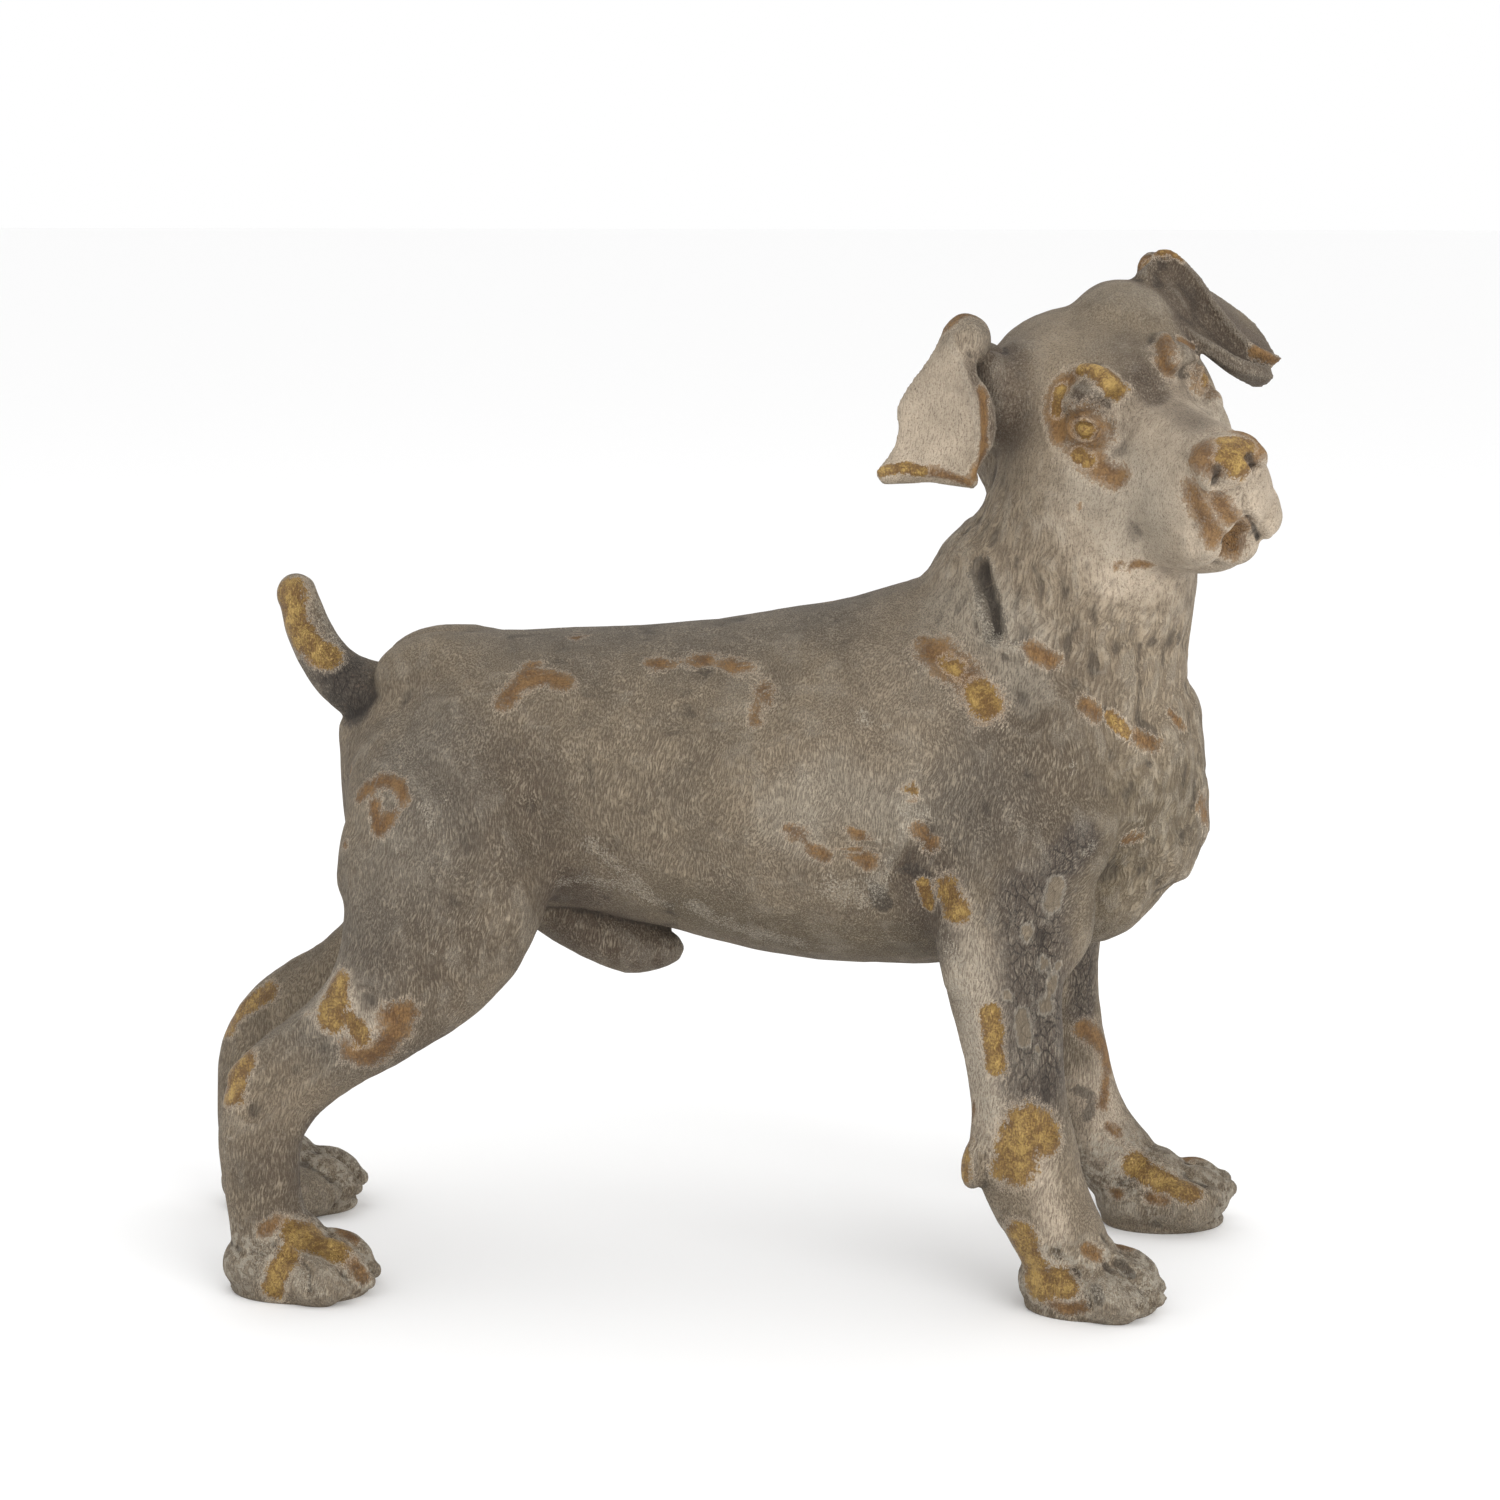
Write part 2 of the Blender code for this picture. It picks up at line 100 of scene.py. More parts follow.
def limb(name, rows, sideways=(0, 1, 0), place=None):
    """A tapering round body drawn along rows of (x, y, z, half width sideways, half width the other way, egg).
    Egg above 0 makes a section narrower on its upper or rear side."""
    path = curve_through(rows)
    runs = np.gradient(path[:, :3], axis=0)
    form = bmesh.new()
    ring = bmesh.ops.create_circle(form, segments=RING_SIDES, radius=1.0)["verts"]
    edges = list(form.edges)
    first = None
    for row, run in zip(path, runs):
        centre, run = Vector(row[:3]), Vector(run).normalized()
        side = Vector(sideways)
        side = (side - side.dot(run) * run).normalized()
        other = run.cross(side)
        if first is not None:
            made = bmesh.ops.extrude_edge_only(form, edges=edges)["geom"]
            ring = [v for v in made if isinstance(v, bmesh.types.BMVert)]
            edges = [e for e in form.edges if e.is_boundary and e.verts[0] in ring and e.verts[1] in ring]
        for i, vert in enumerate(ring):
            turn = 2 * math.pi * i / RING_SIDES
            egg = row[5] * math.sin(turn)
            vert.co = centre + side * row[3] * (1 - egg) * math.cos(turn) + other * row[4] * math.sin(turn)
        if first is None:
            first = list(ring)
    start, end = Vector(path[0][:3]), Vector(path[-1][:3])
    close_end(form, set(first), start - Vector(runs[0]).normalized() * 0.55 * path[0][4])
    close_end(form, set(ring), end + Vector(runs[-1]).normalized() * 0.55 * path[-1][4])
    return clay(name, form, place)


trunk = [
    (-108, 0, 157, 22, 27, 0.0),
    (-99, 0, 153, 30, 35.5, 0.0),
    (-86, 0, 149.5, 34, 39.5, 0.0),
    (-66, 0, 149, 34, 41, 0.0),
    (-45, 0, 149, 33, 42, 0.0),
    (-20, 0, 147.5, 36, 45.5, 0.0),
    (10, 0, 146, 41, 51, 0.0),
    (38, 0, 147, 42, 54.5, 0.03),
    (64, 0, 151, 42, 57, 0.05),
    (86, 0, 151, 39, 54, 0.03),
    (103, 0, 146, 32, 43, 0.0),
    (117, 0, 139, 23, 30.5, 0.0),
    (126, 0, 135, 13.5, 16, 0.0),
]
neck = [
    (77, 0, 160, 38, 45, 0.0),
    (84, 0, 180, 36, 42, 0.0),
    (88.5, -1, 197, 33, 39.5, 0.0),
    (94, -3, 211, 31, 35, 0.0),
    (97, -5, 226, 30, 30, 0.0),
    (99, -3, 244, 27, 27, 0.0),
]
rough = [limb("trunk", trunk), limb("neck", neck)]

# The legs.
# Four tapering columns of clay, each set at its own step of the stance: the left pair stands further out and the
# forelegs reach ahead. The bend of the hock and the straight pastern are in the rows.


def leg(name, side, rows):
    """One leg from hip or shoulder to pastern. Its rows give places on the dog's side away from the middle."""
    return limb(name, [(x, side * y, z, wide, deep, 0.0) for x, y, z, wide, deep in rows])


hind_right = [
    (-86, 22, 156, 13, 22),
    (-86, 25, 142, 15, 27),
    (-87, 28, 126, 16, 30),
    (-88, 30, 111, 16, 29),
    (-95, 32, 97, 15, 23.5),
    (-105, 34, 84.5, 13, 17.5),
    (-118, 35, 74, 11.5, 14),
    (-132, 35, 63, 10.5, 14),
    (-139, 35, 51, 10, 13),
    (-140, 35, 38, 10, 11.6),
    (-139, 35, 26, 10.5, 11),
    (-137, 35, 14, 12, 12),
]
hind_left = [
    (-86, 22, 156, 13, 22),
    (-87, 25, 142, 15, 27),
    (-89, 28, 126, 16, 30),
    (-92, 31, 111, 16, 28),
    (-100, 34, 97, 15, 23.5),
    (-113, 37, 84, 13, 18),
    (-131, 39, 71, 11.5, 14.5),
    (-149, 40, 60, 10.5, 13),
    (-158, 40, 48, 10, 12),
    (-160, 40, 36, 10, 11),
    (-160, 40, 25, 10.5, 11),
    (-157, 40, 14, 12, 12),
]
fore_right = [
    (84, 30, 150, 13, 24),
    (78, 33, 132, 14, 23),
    (73, 35, 114, 13, 19.5),
    (74.5, 36, 95, 11.5, 16.5),
    (77, 37, 78, 11, 14.5),
    (79, 37, 62, 10.5, 14),
    (80.5, 36, 48, 11, 15.5),
    (84, 35, 36, 10.5, 14.5),
    (89, 34, 26, 11.5, 13.5),
    (94, 34, 15, 13, 13),
]
fore_left = [
    (88, 30, 150, 13, 24),
    (86, 33, 132, 14, 23),
    (87, 37, 114, 13, 19),
    (90, 39, 95, 11.5, 15),
    (91, 41, 78, 11, 13.5),
    (93.5, 43, 62, 10.5, 12.8),
    (96, 44, 48, 11, 13),
    (100, 44, 36, 10.5, 12.5),
    (106, 44, 26, 11.5, 12),
    (114, 44, 15, 13, 13),
]
rough += [
    leg("hind_right", -1, hind_right),
    leg("hind_left", 1, hind_left),
    leg("fore_right", -1, fore_right),
    leg("fore_left", 1, fore_left),
]

# The muscles.
# Round pads of clay laid on the trunk and the tops of the legs: shoulder blades, upper arms, thighs, buttocks and
# the brisket between the forelegs. They stand a little proud and are rubbed in with the rest.


def mass(name, centre, radii, turn=(0, 0, 0), place=None):
    """An ellipsoid, turned by degrees about its own x, y and z."""
    form = bmesh.new()
    bmesh.ops.create_icosphere(form, subdivisions=4, radius=1.0)
    spin = (
        Matrix.Rotation(math.radians(turn[2]), 4, "Z")
        @ Matrix.Rotation(math.radians(turn[1]), 4, "Y")
        @ Matrix.Rotation(math.radians(turn[0]), 4, "X")
    )
    shape = Matrix.Translation(centre) @ spin @ Matrix.Diagonal((*radii, 1))
    bmesh.ops.transform(form, matrix=shape, verts=form.verts)
    return clay(name, form, place)


for side, shoulder, hip in ((-1, 0, 0), (1, 6, -2)):
    rough += [
        mass("shoulder", (80 + shoulder * 0.5, side * 27, 152), (22, 15, 40), (0, 16, 0)),
        mass("upper_arm", (80 + shoulder, side * 31, 118), (20, 13, 25), (0, -10, 0)),
        mass("thigh", (-84 + hip, side * 25, 128), (31, 17, 40), (0, 8, 0)),
        mass("buttock", (-97 + hip, side * 18, 136), (19, 14, 33)),
        mass("croup", (-84, side * 7, 176), (25, 13, 14.5), (0, 3, 0)),
    ]
rough.append(mass("brisket", (98, 0, 125), (24, 24, 26), (0, 20, 0)))
rough.append(mass("chest_point", (114, -2, 131), (17, 18, 14), (0, 35, 0)))

# The head, roughed out.
# Skull, muzzle and jaw are one long egg of clay on the neck, turned to the dog's right, dipped and cocked. All
# places on the head are measured forward, left and up from between its eyes.
HEAD_PLACE = (111, -22, 258)
forward = Vector((0.512, -0.830, -0.219)).normalized()
left = Vector((0.842, 0.436, 0.318))
left = (left - left.dot(forward) * forward).normalized()
head = Matrix.Translation(HEAD_PLACE) @ Matrix((forward, left, forward.cross(left))).transposed().to_4x4()

skull = [
    (-62, 0, -9, 14, 13, 0.0),
    (-54, 0, -9, 24, 21, 0.0),
    (-42, 0, -10, 30, 26, 0.0),
    (-28, 0, -12, 32, 28.5, 0.0),
    (-14, 0, -14, 30.5, 28.5, 0.0),
    (-4, 0, -16, 26, 25, 0.1),
    (5, 0, -17, 20.5, 21, 0.18),
    (15, 0, -16, 17.5, 19.5, 0.24),
    (27, 0, -14, 16, 17.5, 0.26),
    (36, 0, -12, 13.5, 15, 0.22),
    (41, 0, -10, 10, 11, 0.1),
]
jaw = [
    (-24, 0, -34, 22, 11, 0.0),
    (-8, 0, -37, 18, 10, 0.0),
    (8, 0, -37.5, 14, 9, 0.0),
    (20, 0, -36.5, 11.5, 8, 0.0),
    (28, 0, -34, 9.5, 7.5, 0.0),
    (33, 0, -32.5, 8, 6.5, 0.0),
]
rough += [limb("skull", skull, place=head), limb("jaw", jaw, place=head)]
rough.append(mass("crown", (-31, 14, 8.5), (18, 15, 13.5), place=head))
for side in (-1, 1):
    rough += [
        mass("cheek", (-20, side * 18, -22), (25, 14, 21), place=head),
        mass("temple", (-30, side * 14, 1 + side), (22, 15.5, 15.5), place=head),
        mass("jowl", (-38, side * 16, -20), (20, 18, 22), place=head),
        mass("ear_base", (-32, side * 29, 3), (10, 7, 15), place=head),
        mass("lower_lip", (20, side * 11, -31), (16, 6.5, 7.5), (0, -4, side * -8), place=head),
        mass("lip", (24, side * 8.5, -19), (18, 9, 13.5), (side * 14, 6, side * -7), place=head),
    ]


def bake(item):
    """Applies an object's modifiers to its mesh."""
    bpy.context.view_layer.update()
    graph = bpy.context.evaluated_depsgraph_get()
    made = bpy.data.meshes.new_from_object(item.evaluated_get(graph))
    item.modifiers.clear()
    item.data = made


def fuse(name, items, cell, rub):
    """Several forms made one closed skin, with the joins rubbed smooth. The forms are used up."""
    form = bmesh.new()
    for item in items:
        form.from_mesh(item.data)
        bpy.data.objects.remove(item, do_unlink=True)
    mesh = bpy.data.meshes.new(name)
    form.to_mesh(mesh)
    form.free()
    joined = bpy.data.objects.new(name, mesh)
    bpy.context.scene.collection.objects.link(joined)
    skin = joined.modifiers.new("fuse", "REMESH")
    skin.mode = "VOXEL"
    skin.voxel_size = cell * STEP
    soft = joined.modifiers.new("rub", "SMOOTH")
    soft.factor = 0.5
    soft.iterations = rub
    bake(joined)
    return joined


forms = [fuse("rough_dog", rough, 1.3, 24)]

# The face.
# Smaller pieces of clay pressed onto the roughed-out head: the brows with their raised edge, the eyeballs with a
# bag under each, the lips that hang beside the mouth, the chin and the nose pad with its wings.
EYE_RADIUS = 5.4


def eye_look(side):
    """The middle of an eye's surface, on the head, and the way it faces."""
    return Vector((-0.6, side * 20.4, -0.4)), Vector((0.62, side * 0.76, 0.16)).normalized()


forms += [
    mass("nose", (37.8, -0.8, -3.6), (8.2, 10.6, 6.4), (0, 12, 0), place=head),
    mass("nose_tip", (41.5, -0.8, -4.6), (5, 7, 5.4), (0, 14, 0), place=head),
    mass("chin", (35, 0.5, -31.4), (6, 7, 5.6), place=head),
]
for side in (-1, 1):
    brow_edge = [(-12, 14, 9.5), (-9.5, 12.5, 12), (-5, 11.5, 12.4), (-1.2, 9.8, 10.6), (0.6, 8.4, 8)]
    spot, look = eye_look(side)
    forms += [
        mass("eyeball", spot - look * EYE_RADIUS, (EYE_RADIUS,) * 3, place=head),
        mass("eye_bag", (0.8, side * 19.8, -8.6), (5.4, 3.6, 3.0), (0, 24, side * -38), head),
        mass("brow", (-7.0, side * 12.5, 6.6), (8.6, 9.4, 5.4), (side * -20, -15, 0), place=head),
        limb("brow_edge", [(a, side * b, c, 1.7, 1.7, 0) for a, b, c in brow_edge], (0, 0, 1), head),
        mass("cheekbone", (-3, side * 16.5, -12), (10, 6, 5), (0, 20, side * -25), place=head),
        mass("lip_end", (33, side * 9.2, -24), (9, 7, 9.5), (side * 14, -15, side * -7), place=head),
        mass("nostril_wing", (40.4, side * 7.4 - 0.8, -5.4), (4.0, 3.2, 4.2), (0, 0, side * 20), head),
    ]

# The ears.
# Each is a sheet of clay folded over at the top, with a sharp rim where it folds. The right ear hangs outwards
# with its flap to the front; the left one is turned up and shows its hollow. The edges are thick and rolled.
# Every row, from the fold to the tip, gives a place on the outer edge, on the rim and on the inner edge.
EAR_THICKNESS = 4.2
ear_right = [
    ((-36, -39.2, 27.5), (-33, -36.6, 29.0), (-34, -30.3, 26.5)),
    ((-37, -43.6, 21.3), (-28, -41.6, 26.0), (-30, -29.1, 23.5)),
    ((-38, -53.4, 13.1), (-22, -41.6, 17.6), (-25, -37.0, 17.4)),
    ((-38, -57.0, 9.0), (-17, -42.9, 10.1), (-21.5, -35.4, 9.6)),
    ((-36, -59.4, 2.2), (-14, -45.3, 3.5), (-19, -36.2, 2.6)),
    ((-34, -63.3, -0.9), (-12, -47.6, -2.0), (-16, -40.0, -2.4)),
    ((-32, -70.2, -4.0), (-11, -49.8, -6.9), (-16, -45.2, -7.4)),
]
ear_left = [
    ((-41, 28, 15.5), (-38, 28, 17), (-32, 21.5, 16)),
    ((-43, 33, 19.5), (-36, 30.6, 23.4), (-27, 23.5, 15.6)),
    ((-44, 41, 16.5), (-33, 34.4, 23.3), (-21, 25.0, 10.9)),
    ((-42, 48, 6.5), (-29, 39.2, 15.0), (-16, 28.5, 5.5)),
    ((-38, 54, 0), (-22, 41.0, 5.8), (-13, 34.0, 0.6)),
    ((-32, 58, -6), (-16, 45.2, -3.9), (-10, 39.5, -4.4)),
    ((-27, 58.5, -10.5), (-13, 53.0, -10.8), (-10.5, 48.5, -10.0)),
]


def ear(name, rows, cup):
    """A sheet through the rows, hollowed between its rim and its inner edge by cup, and given its thickness."""
    outer, rim, inner = (curve_through([row[i] for row in rows], 4) for i in range(3))
    along = np.gradient(rim, axis=0)
    places = []
    for i in range(len(rim)):
        across = inner[i] - rim[i]
        back = np.cross(along[i], across)
        back *= -math.copysign(1, back[0]) / np.linalg.norm(back)
        row = [outer[i] + (rim[i] - outer[i]) * t for t in (0, 0.25, 0.5, 0.75, 1)]
        row += [rim[i] + across * t + back * cup * math.sin(math.pi * t) for t in (0.25, 0.5, 0.75, 1)]
        places.append(row)
    form = bmesh.new()
    wide, tall = len(places[0]), len(places)
    bmesh.ops.create_grid(form, x_segments=wide - 1, y_segments=tall - 1, size=1)
    form.verts.ensure_lookup_table()
    for n, vert in enumerate(form.verts):
        vert.co = places[n // wide][n % wide]
    form.normal_update()
    if sum(face.normal.x for face in form.faces) < 0:
        bmesh.ops.reverse_faces(form, faces=form.faces)
    bmesh.ops.solidify(form, geom=form.faces[:], thickness=EAR_THICKNESS)
    return clay(name, form, head)


right_hem = [
    (-31, -68.5, -6, 2.2, 2.2, 0),
    (-30, -62.0, -7.5, 2.6, 2.6, 0),
    (-25, -56.5, -7.5, 2.7, 2.7, 0),
    (-19, -52.0, -8.5, 2.6, 2.6, 0),
    (-14, -49.0, -9.0, 2.4, 2.4, 0),
]
left_rim = [(*row[1], 1.1, 1.1, 0) for row in ear_left]
forms += [
    ear("ear_right", ear_right, 1.0),
    ear("ear_left", ear_left, 4.2),
    limb("right_hem", right_hem, (0, 0, 1), head),
    limb("left_rim", left_rim, (1, 0, 0), head),
    mass("ear_top_right", (-33, -34.5, 22.5), (6.5, 7, 7.5), place=head),
    mass("ear_root_right", (-40, -25, 8), (8, 6, 9), (20, 0, 0), head),
    mass("ear_top_left", (-40, 31.5, 17.5), (4, 4.5, 5.5), place=head),
    mass("ear_root_left", (-36, 28, 9), (8, 9, 12), (-20, 0, 0), head),
]

# The paws.
# A palm, a flat sole and four toes, each with its knuckle and a short claw, and a pad behind each wrist.


def paw(tip_x, y, length, aim=0.0, rise=0.0):
    """A paw pointing forward and turned out by aim degrees. Rise lifts the claws."""
    turned = Matrix.Translation((tip_x, y, 0)) @ Matrix.Rotation(math.radians(aim), 4, "Z")
    made = [
        mass("palm", (-length * 0.64, 0, 8), (length * 0.35, 13, 11), place=turned),
        mass("instep", (-length * 0.56, 0, 14), (length * 0.25, 12, 10), (0, 25, 0), turned),
        mass("sole", (-length * 0.5, 0, 1), (length * 0.45, 13, 4), place=turned),
    ]
    toes = ((-11.0, -18.5, 8.6), (-4.2, -13.0, 10.0), (4.2, -13.0, 10.0), (11.0, -18.5, 8.6))
    for across, back, height in toes:
        spread = across * 0.8
        made += [
            mass(
                "toe",
                (back, across, height * 0.8 + rise * 0.3),
                (11.5, 5.2, height * 0.92),
                (0, 14 - rise, spread),
                turned,
            ),
            mass("claw", (back + 10.2, across * 1.06, 5 + rise), (3.4, 2.3, 2.9), (0, 24 - rise, spread), turned),
        ]
    return made


forms += paw(-106, -36, 46)
forms += paw(-124, 37, 46, 0, 3)
forms += paw(122, -34, 43)
forms += paw(147, 43, 43, 6, 7)
forms += [mass("wrist_pad", (x, y, 45), (4.6, 5, 9), (0, 14, 0)) for x, y in ((67.5, -39), (86, 39))]

# The tail and the sheath.
# The docked tail is carried up and back; the sheath of a male dog hangs under the loin.
tail = [
    (-98, 0, 168, 9, 9, 0.0),
    (-109, 0, 170, 9, 9.5, 0.0),
    (-118, 0, 174, 8.2, 8.6, 0.0),
    (-125, 0, 181.5, 7, 7.2, 0.0),
    (-129.5, 0, 190, 6.4, 6.6, 0.0),
    (-132, 0, 199, 5.8, 5.8, 0.0),
]
sheath = [
    (-66, 0, 114, 8, 9, 0.0),
    (-54, 0, 106, 8.5, 9.5, 0.0),
    (-43, 0, 100, 8.5, 9.5, 0.0),
    (-34, 0, 96.5, 8, 9, 0.0),
    (-26, 0, 95.5, 6, 6.5, 0.0),
    (-21, 0, 95.5, 3.6, 3.8, 0.0),
]
forms += [limb("tail", tail), mass("tail_tip", (-132.4, 0, 199.6), (5.9, 5.9, 6.4)), limb("sheath", sheath)]
figure = fuse("cast_dog", forms, 0.9, 5)

# The strokes.
# With the masses rubbed in, the sculptor draws the forms with fingers and tools: the mouth, the eye sockets, the
# folds of skin at the neck and the armpits. Each stroke pushes the skin in, or pulls it out, along a line.


def carve(item, path, radius, height, place=None):
    """One stroke along a line of places, counted in steps, in the head's own frame or the figure's."""
    mesh = item.data
    count = len(mesh.vertices)
    path = [(place or Matrix.Identity(4)) @ Vector(p) for p in path]
    path = curve_through([tuple(p) for p in path], 3) * STEP
    radius, height = radius * STEP, height * STEP
    places = np.empty(count * 3)
    mesh.vertices.foreach_get("co", places)
    places = places.reshape(-1, 3)
    normals = np.empty(count * 3, np.float32)
    mesh.vertex_normals.foreach_get("vector", normals)
    normals = normals.reshape(-1, 3)
    low, high = path.min(axis=0) - radius, path.max(axis=0) + radius
    here = np.nonzero(np.all((places > low) & (places < high), axis=1))[0]
    near = np.full(len(here), np.inf)
    for start, end in zip(path[:-1], path[1:]):
        run = end - start
        t = np.clip((places[here] - start) @ run / (run @ run), 0, 1)
        near = np.minimum(near, np.linalg.norm(places[here] - start - t[:, None] * run, axis=1))
    weight = np.clip(1 - (near / radius) ** 2, 0, 1) ** 2
    places[here] += normals[here] * (weight * height)[:, None]
    mesh.vertices.foreach_set("co", places.ravel())
    mesh.update()


def refine(item, spots, place):
    """Gives the skin smaller faces round the spots, for finer strokes."""
    form = bmesh.new()
    form.from_mesh(item.data)
    spots = [(place @ Vector(spot) * STEP, radius * STEP) for spot, radius in spots]
    edges = [e for e in form.edges if any((e.verts[0].co - spot).length < radius for spot, radius in spots)]
    bmesh.ops.subdivide_edges(form, edges=edges, cuts=1, use_grid_fill=True)
    bmesh.ops.triangulate(form, faces=[f for f in form.faces if len(f.verts) > 4])
    form.to_mesh(item.data)
    form.free()


def ring(item, centre, look, radius, width, height, place, flat=1.0):
    """A stroke round an eye: it raises or sinks the skin where it lies about a radius from the axis of its look.
    Flat below 1 draws it as an oval, wider than it is tall."""
    mesh = item.data
    places = np.empty(len(mesh.vertices) * 3)
    mesh.vertices.foreach_get("co", places)
    places = places.reshape(-1, 3)
    look = (place.to_3x3() @ look).normalized()
    up = place.to_3x3() @ Vector((0.1, 0, 1))
    up = (up - up.dot(look) * look).normalized()
    away = places - np.array(place @ centre) * STEP
    along = away @ np.array(look)
    across = np.hypot(away @ np.array(up) / flat, away @ np.array(look.cross(up))) / STEP
    weight = np.clip(1 - ((across - radius) / width) ** 2, 0, 1) ** 2 * (np.abs(along) < 5 * STEP)
    places += (weight * height * STEP)[:, None] * np.array(look)
    mesh.vertices.foreach_set("co", places.ravel())
    mesh.update()


refine(figure, [((-0.6, 20.4, -0.4), 9), ((-0.6, -20.4, -0.4), 9), ((41, 0, -14), 17)], head)
for side in (-1, 1):
    spot, look = eye_look(side)
    ring(figure, spot, look, 6.9, 2.0, -0.8, head, 0.7)
    ring(figure, spot, look, 4.6, 1.5, 0.7, head, 0.62)
    ring(figure, spot, look, 3.3, 0.9, -0.6, head, 0.7)
    ring(figure, spot, look, 0, 2.6, 0.6, head, 0.8)
    carve(figure, [(-5.6, side * 23, 2.0), (-1.4, side * 21, 3.6), (3, side * 17, 2.4)], 2.2, 1.0, head)
    carve(figure, [(-3.4, side * 23.6, -5), (1, side * 21.6, -6.6), (5, side * 18.4, -5.6)], 2.4, 0.8, head)
    carve(figure, [(-6, side * 20, 8.6), (-1.6, side * 17.6, 7.6), (0.6, side * 13.6, 4.8)], 3.2, -1.0, head)
    carve(figure, [(-9, side * 14, 13.4), (-3.4, side * 11.4, 13.4), (0.6, side * 9.8, 10)], 3.0, 1.0, head)
    carve(figure, [(3.6, side * 12.4, 0), (7.4, side * 13.4, -5), (9.6, side * 15.6, -10)], 4.4, -0.5, head)
    carve(figure, [(-8, side * 22, 4.6), (-4, side * 19.5, 6), (1, side * 15.6, 5.2)], 1.6, -0.6, head)
    carve(figure, [(2.0, side * 13.2, 5), (3.4, side * 12.8, 0), (6, side * 14.2, -6)], 5.2, -0.6, head)
    carve(figure, [(-8.5, side * 22.5, 3), (-8, side * 24, -3), (-4, side * 24.5, -9)], 3.2, -1.0, head)
    nostril = [(45.6, side * 4.6 - 2.2, -1.6), (44.9, side * 5.2 - 2.2, -4), (43.6, side * 6.4 - 2, -7)]
    carve(figure, nostril, 2.4, -2.6, head)
    pad = [(45.4, side * 1.5 - 0.8, -9.6), (42.5, side * 7 - 0.8, -10.2), (38, side * 10.8 - 0.8, -7.5), (34, side * 11.4, -2)]
    carve(figure, pad, 1.9, -0.9, head)
    carve(figure, [(36, side * 12, -9), (38.5, side * 13.5, -16), (38, side * 14, -24)], 3.0, -0.7, head)
carve(figure, [(47, -0.8, -9), (46, -1.6, -13), (44.5, -1.5, -17.5)], 1.5, -0.9, head)
carve(figure, [(43.2, -1.4, -20.5), (42, -2, -23.5), (40.4, -2.6, -27), (38.6, -3.2, -30)], 5.2, -2.8, head)
carve(figure, [(45, -3.6, -17), (43.8, -6.8, -21.5), (42.6, -10.8, -25.5), (41, -13.5, -28)], 2.5, 1.0, head)
carve(figure, [(45.2, 1.6, -17.5), (44.6, 4.2, -22), (42.5, 6.8, -27), (40, 8.2, -31)], 2.5, 1.0, head)
carve(figure, [(42.6, -3.2, -20), (41.6, -5.6, -23.4), (40.4, -9, -27), (39.2, -11.6, -29)], 1.4, -0.9, head)
carve(figure, [(43, 0.6, -20), (42.6, 2.2, -23), (41, 4.4, -27), (39, 5.8, -30.6)], 1.4, -0.9, head)
carve(figure, [(34, 0, -0.5), (24, 0, 1), (12, 0, 3), (2, 0, 8)], 5, -0.7, head)
carve(figure, [(72, -38, 197), (75, -39, 185), (80, -38, 174)], 7, -1.8)
for side in (-1, 1):
    hock = -147 if side < 0 else -165
    lean = hock + 147
    tendon = [(-115, side * 43, 96), (-122, side * 42, 86), (-135 + lean, side * 39, 74), (hock, side * 37, 65)]
    carve(figure, tendon, 4.5, 1.3)
    hollow = [(-106, side * 47, 90), (-116, side * 47, 78), (-131 + lean, side * 45, 66), (-140 + lean, side * 45, 58)]
    carve(figure, hollow, 6.5, -2.2)
    carve(figure, [(-63, side * 33, 142), (-58, side * 32, 128), (-60, side * 28, 116)], 8, -1.8)
    carve(figure, [(-94, side * 37, 162), (-82, side * 41, 150), (-77, side * 43, 134), (-80, side * 44, 120)], 7, -1.4)
    carve(figure, [(70, side * 44, 104), (72, side * 47, 90), (74, side * 47, 74), (75, side * 46, 58)], 4, -0.9)
    carve(figure, [(85, side * 46, 112), (86, side * 45, 92), (87, side * 45, 72), (88, side * 44, 56)], 4.5, -1.2)
    carve(figure, [(62, side * 41, 120), (58, side * 42, 108), (60, side * 42, 98)], 6, 1.4)
    carve(figure, [(66, side * 38, 168), (76, side * 42, 150), (82, side * 45, 134)], 9, 1.2)
carve(figure, [(66, -25, 213), (68, -29, 205), (70, -32, 196)], 3.4, -2.6)
carve(figure, [(63, -24, 210), (65, -29, 201), (69, -33, 193), (78, -35, 190)], 2.8, 1.4)
carve(figure, [(52, -42, 140), (47, -42, 129), (44, -40, 118), (46, -38, 108)], 6, -1.8)
carve(figure, [(54, 42, 140), (50, 42, 129), (48, 40, 118)], 6, -1.8)
carve(figure, [(130, -6, 133), (121, -18, 131), (110, -27, 130), (99, -39, 132)], 6, 1.0)
for cleft in (
    [(90, -45.5, 20), (95, -45, 14.5), (99, -48.5, 8), (98, -51, 3)],
    [(98, -43.8, 22), (104, -43, 17), (109, -47, 13), (113, -48, 6)],
    [(104, -38, 23), (112, -38, 17), (118, -38, 10), (121, -38, 4)],
    [(-134, -47, 17), (-124, -50.7, 13), (-123, -52.6, 6)],
    [(-124, -44, 19), (-116, -44, 15), (-111, -44, 9), (-109, -44, 4)],
    [(-122, -36, 20), (-113, -35, 15), (-107, -35, 8)],
):
    carve(figure, cleft, 2.6, -1.2)
carve(figure, [(130, -4, 151), (126, -13, 150)], 3.4, -1.0)

# The cast.
# The clay was moulded and cast in resin as one hollow piece. Here its skin is thinned to what a mesh may hold,
# the paws are cut flat where they stand, and the figure is set over the middle of its base.
CAST_TRIANGLES = 193000


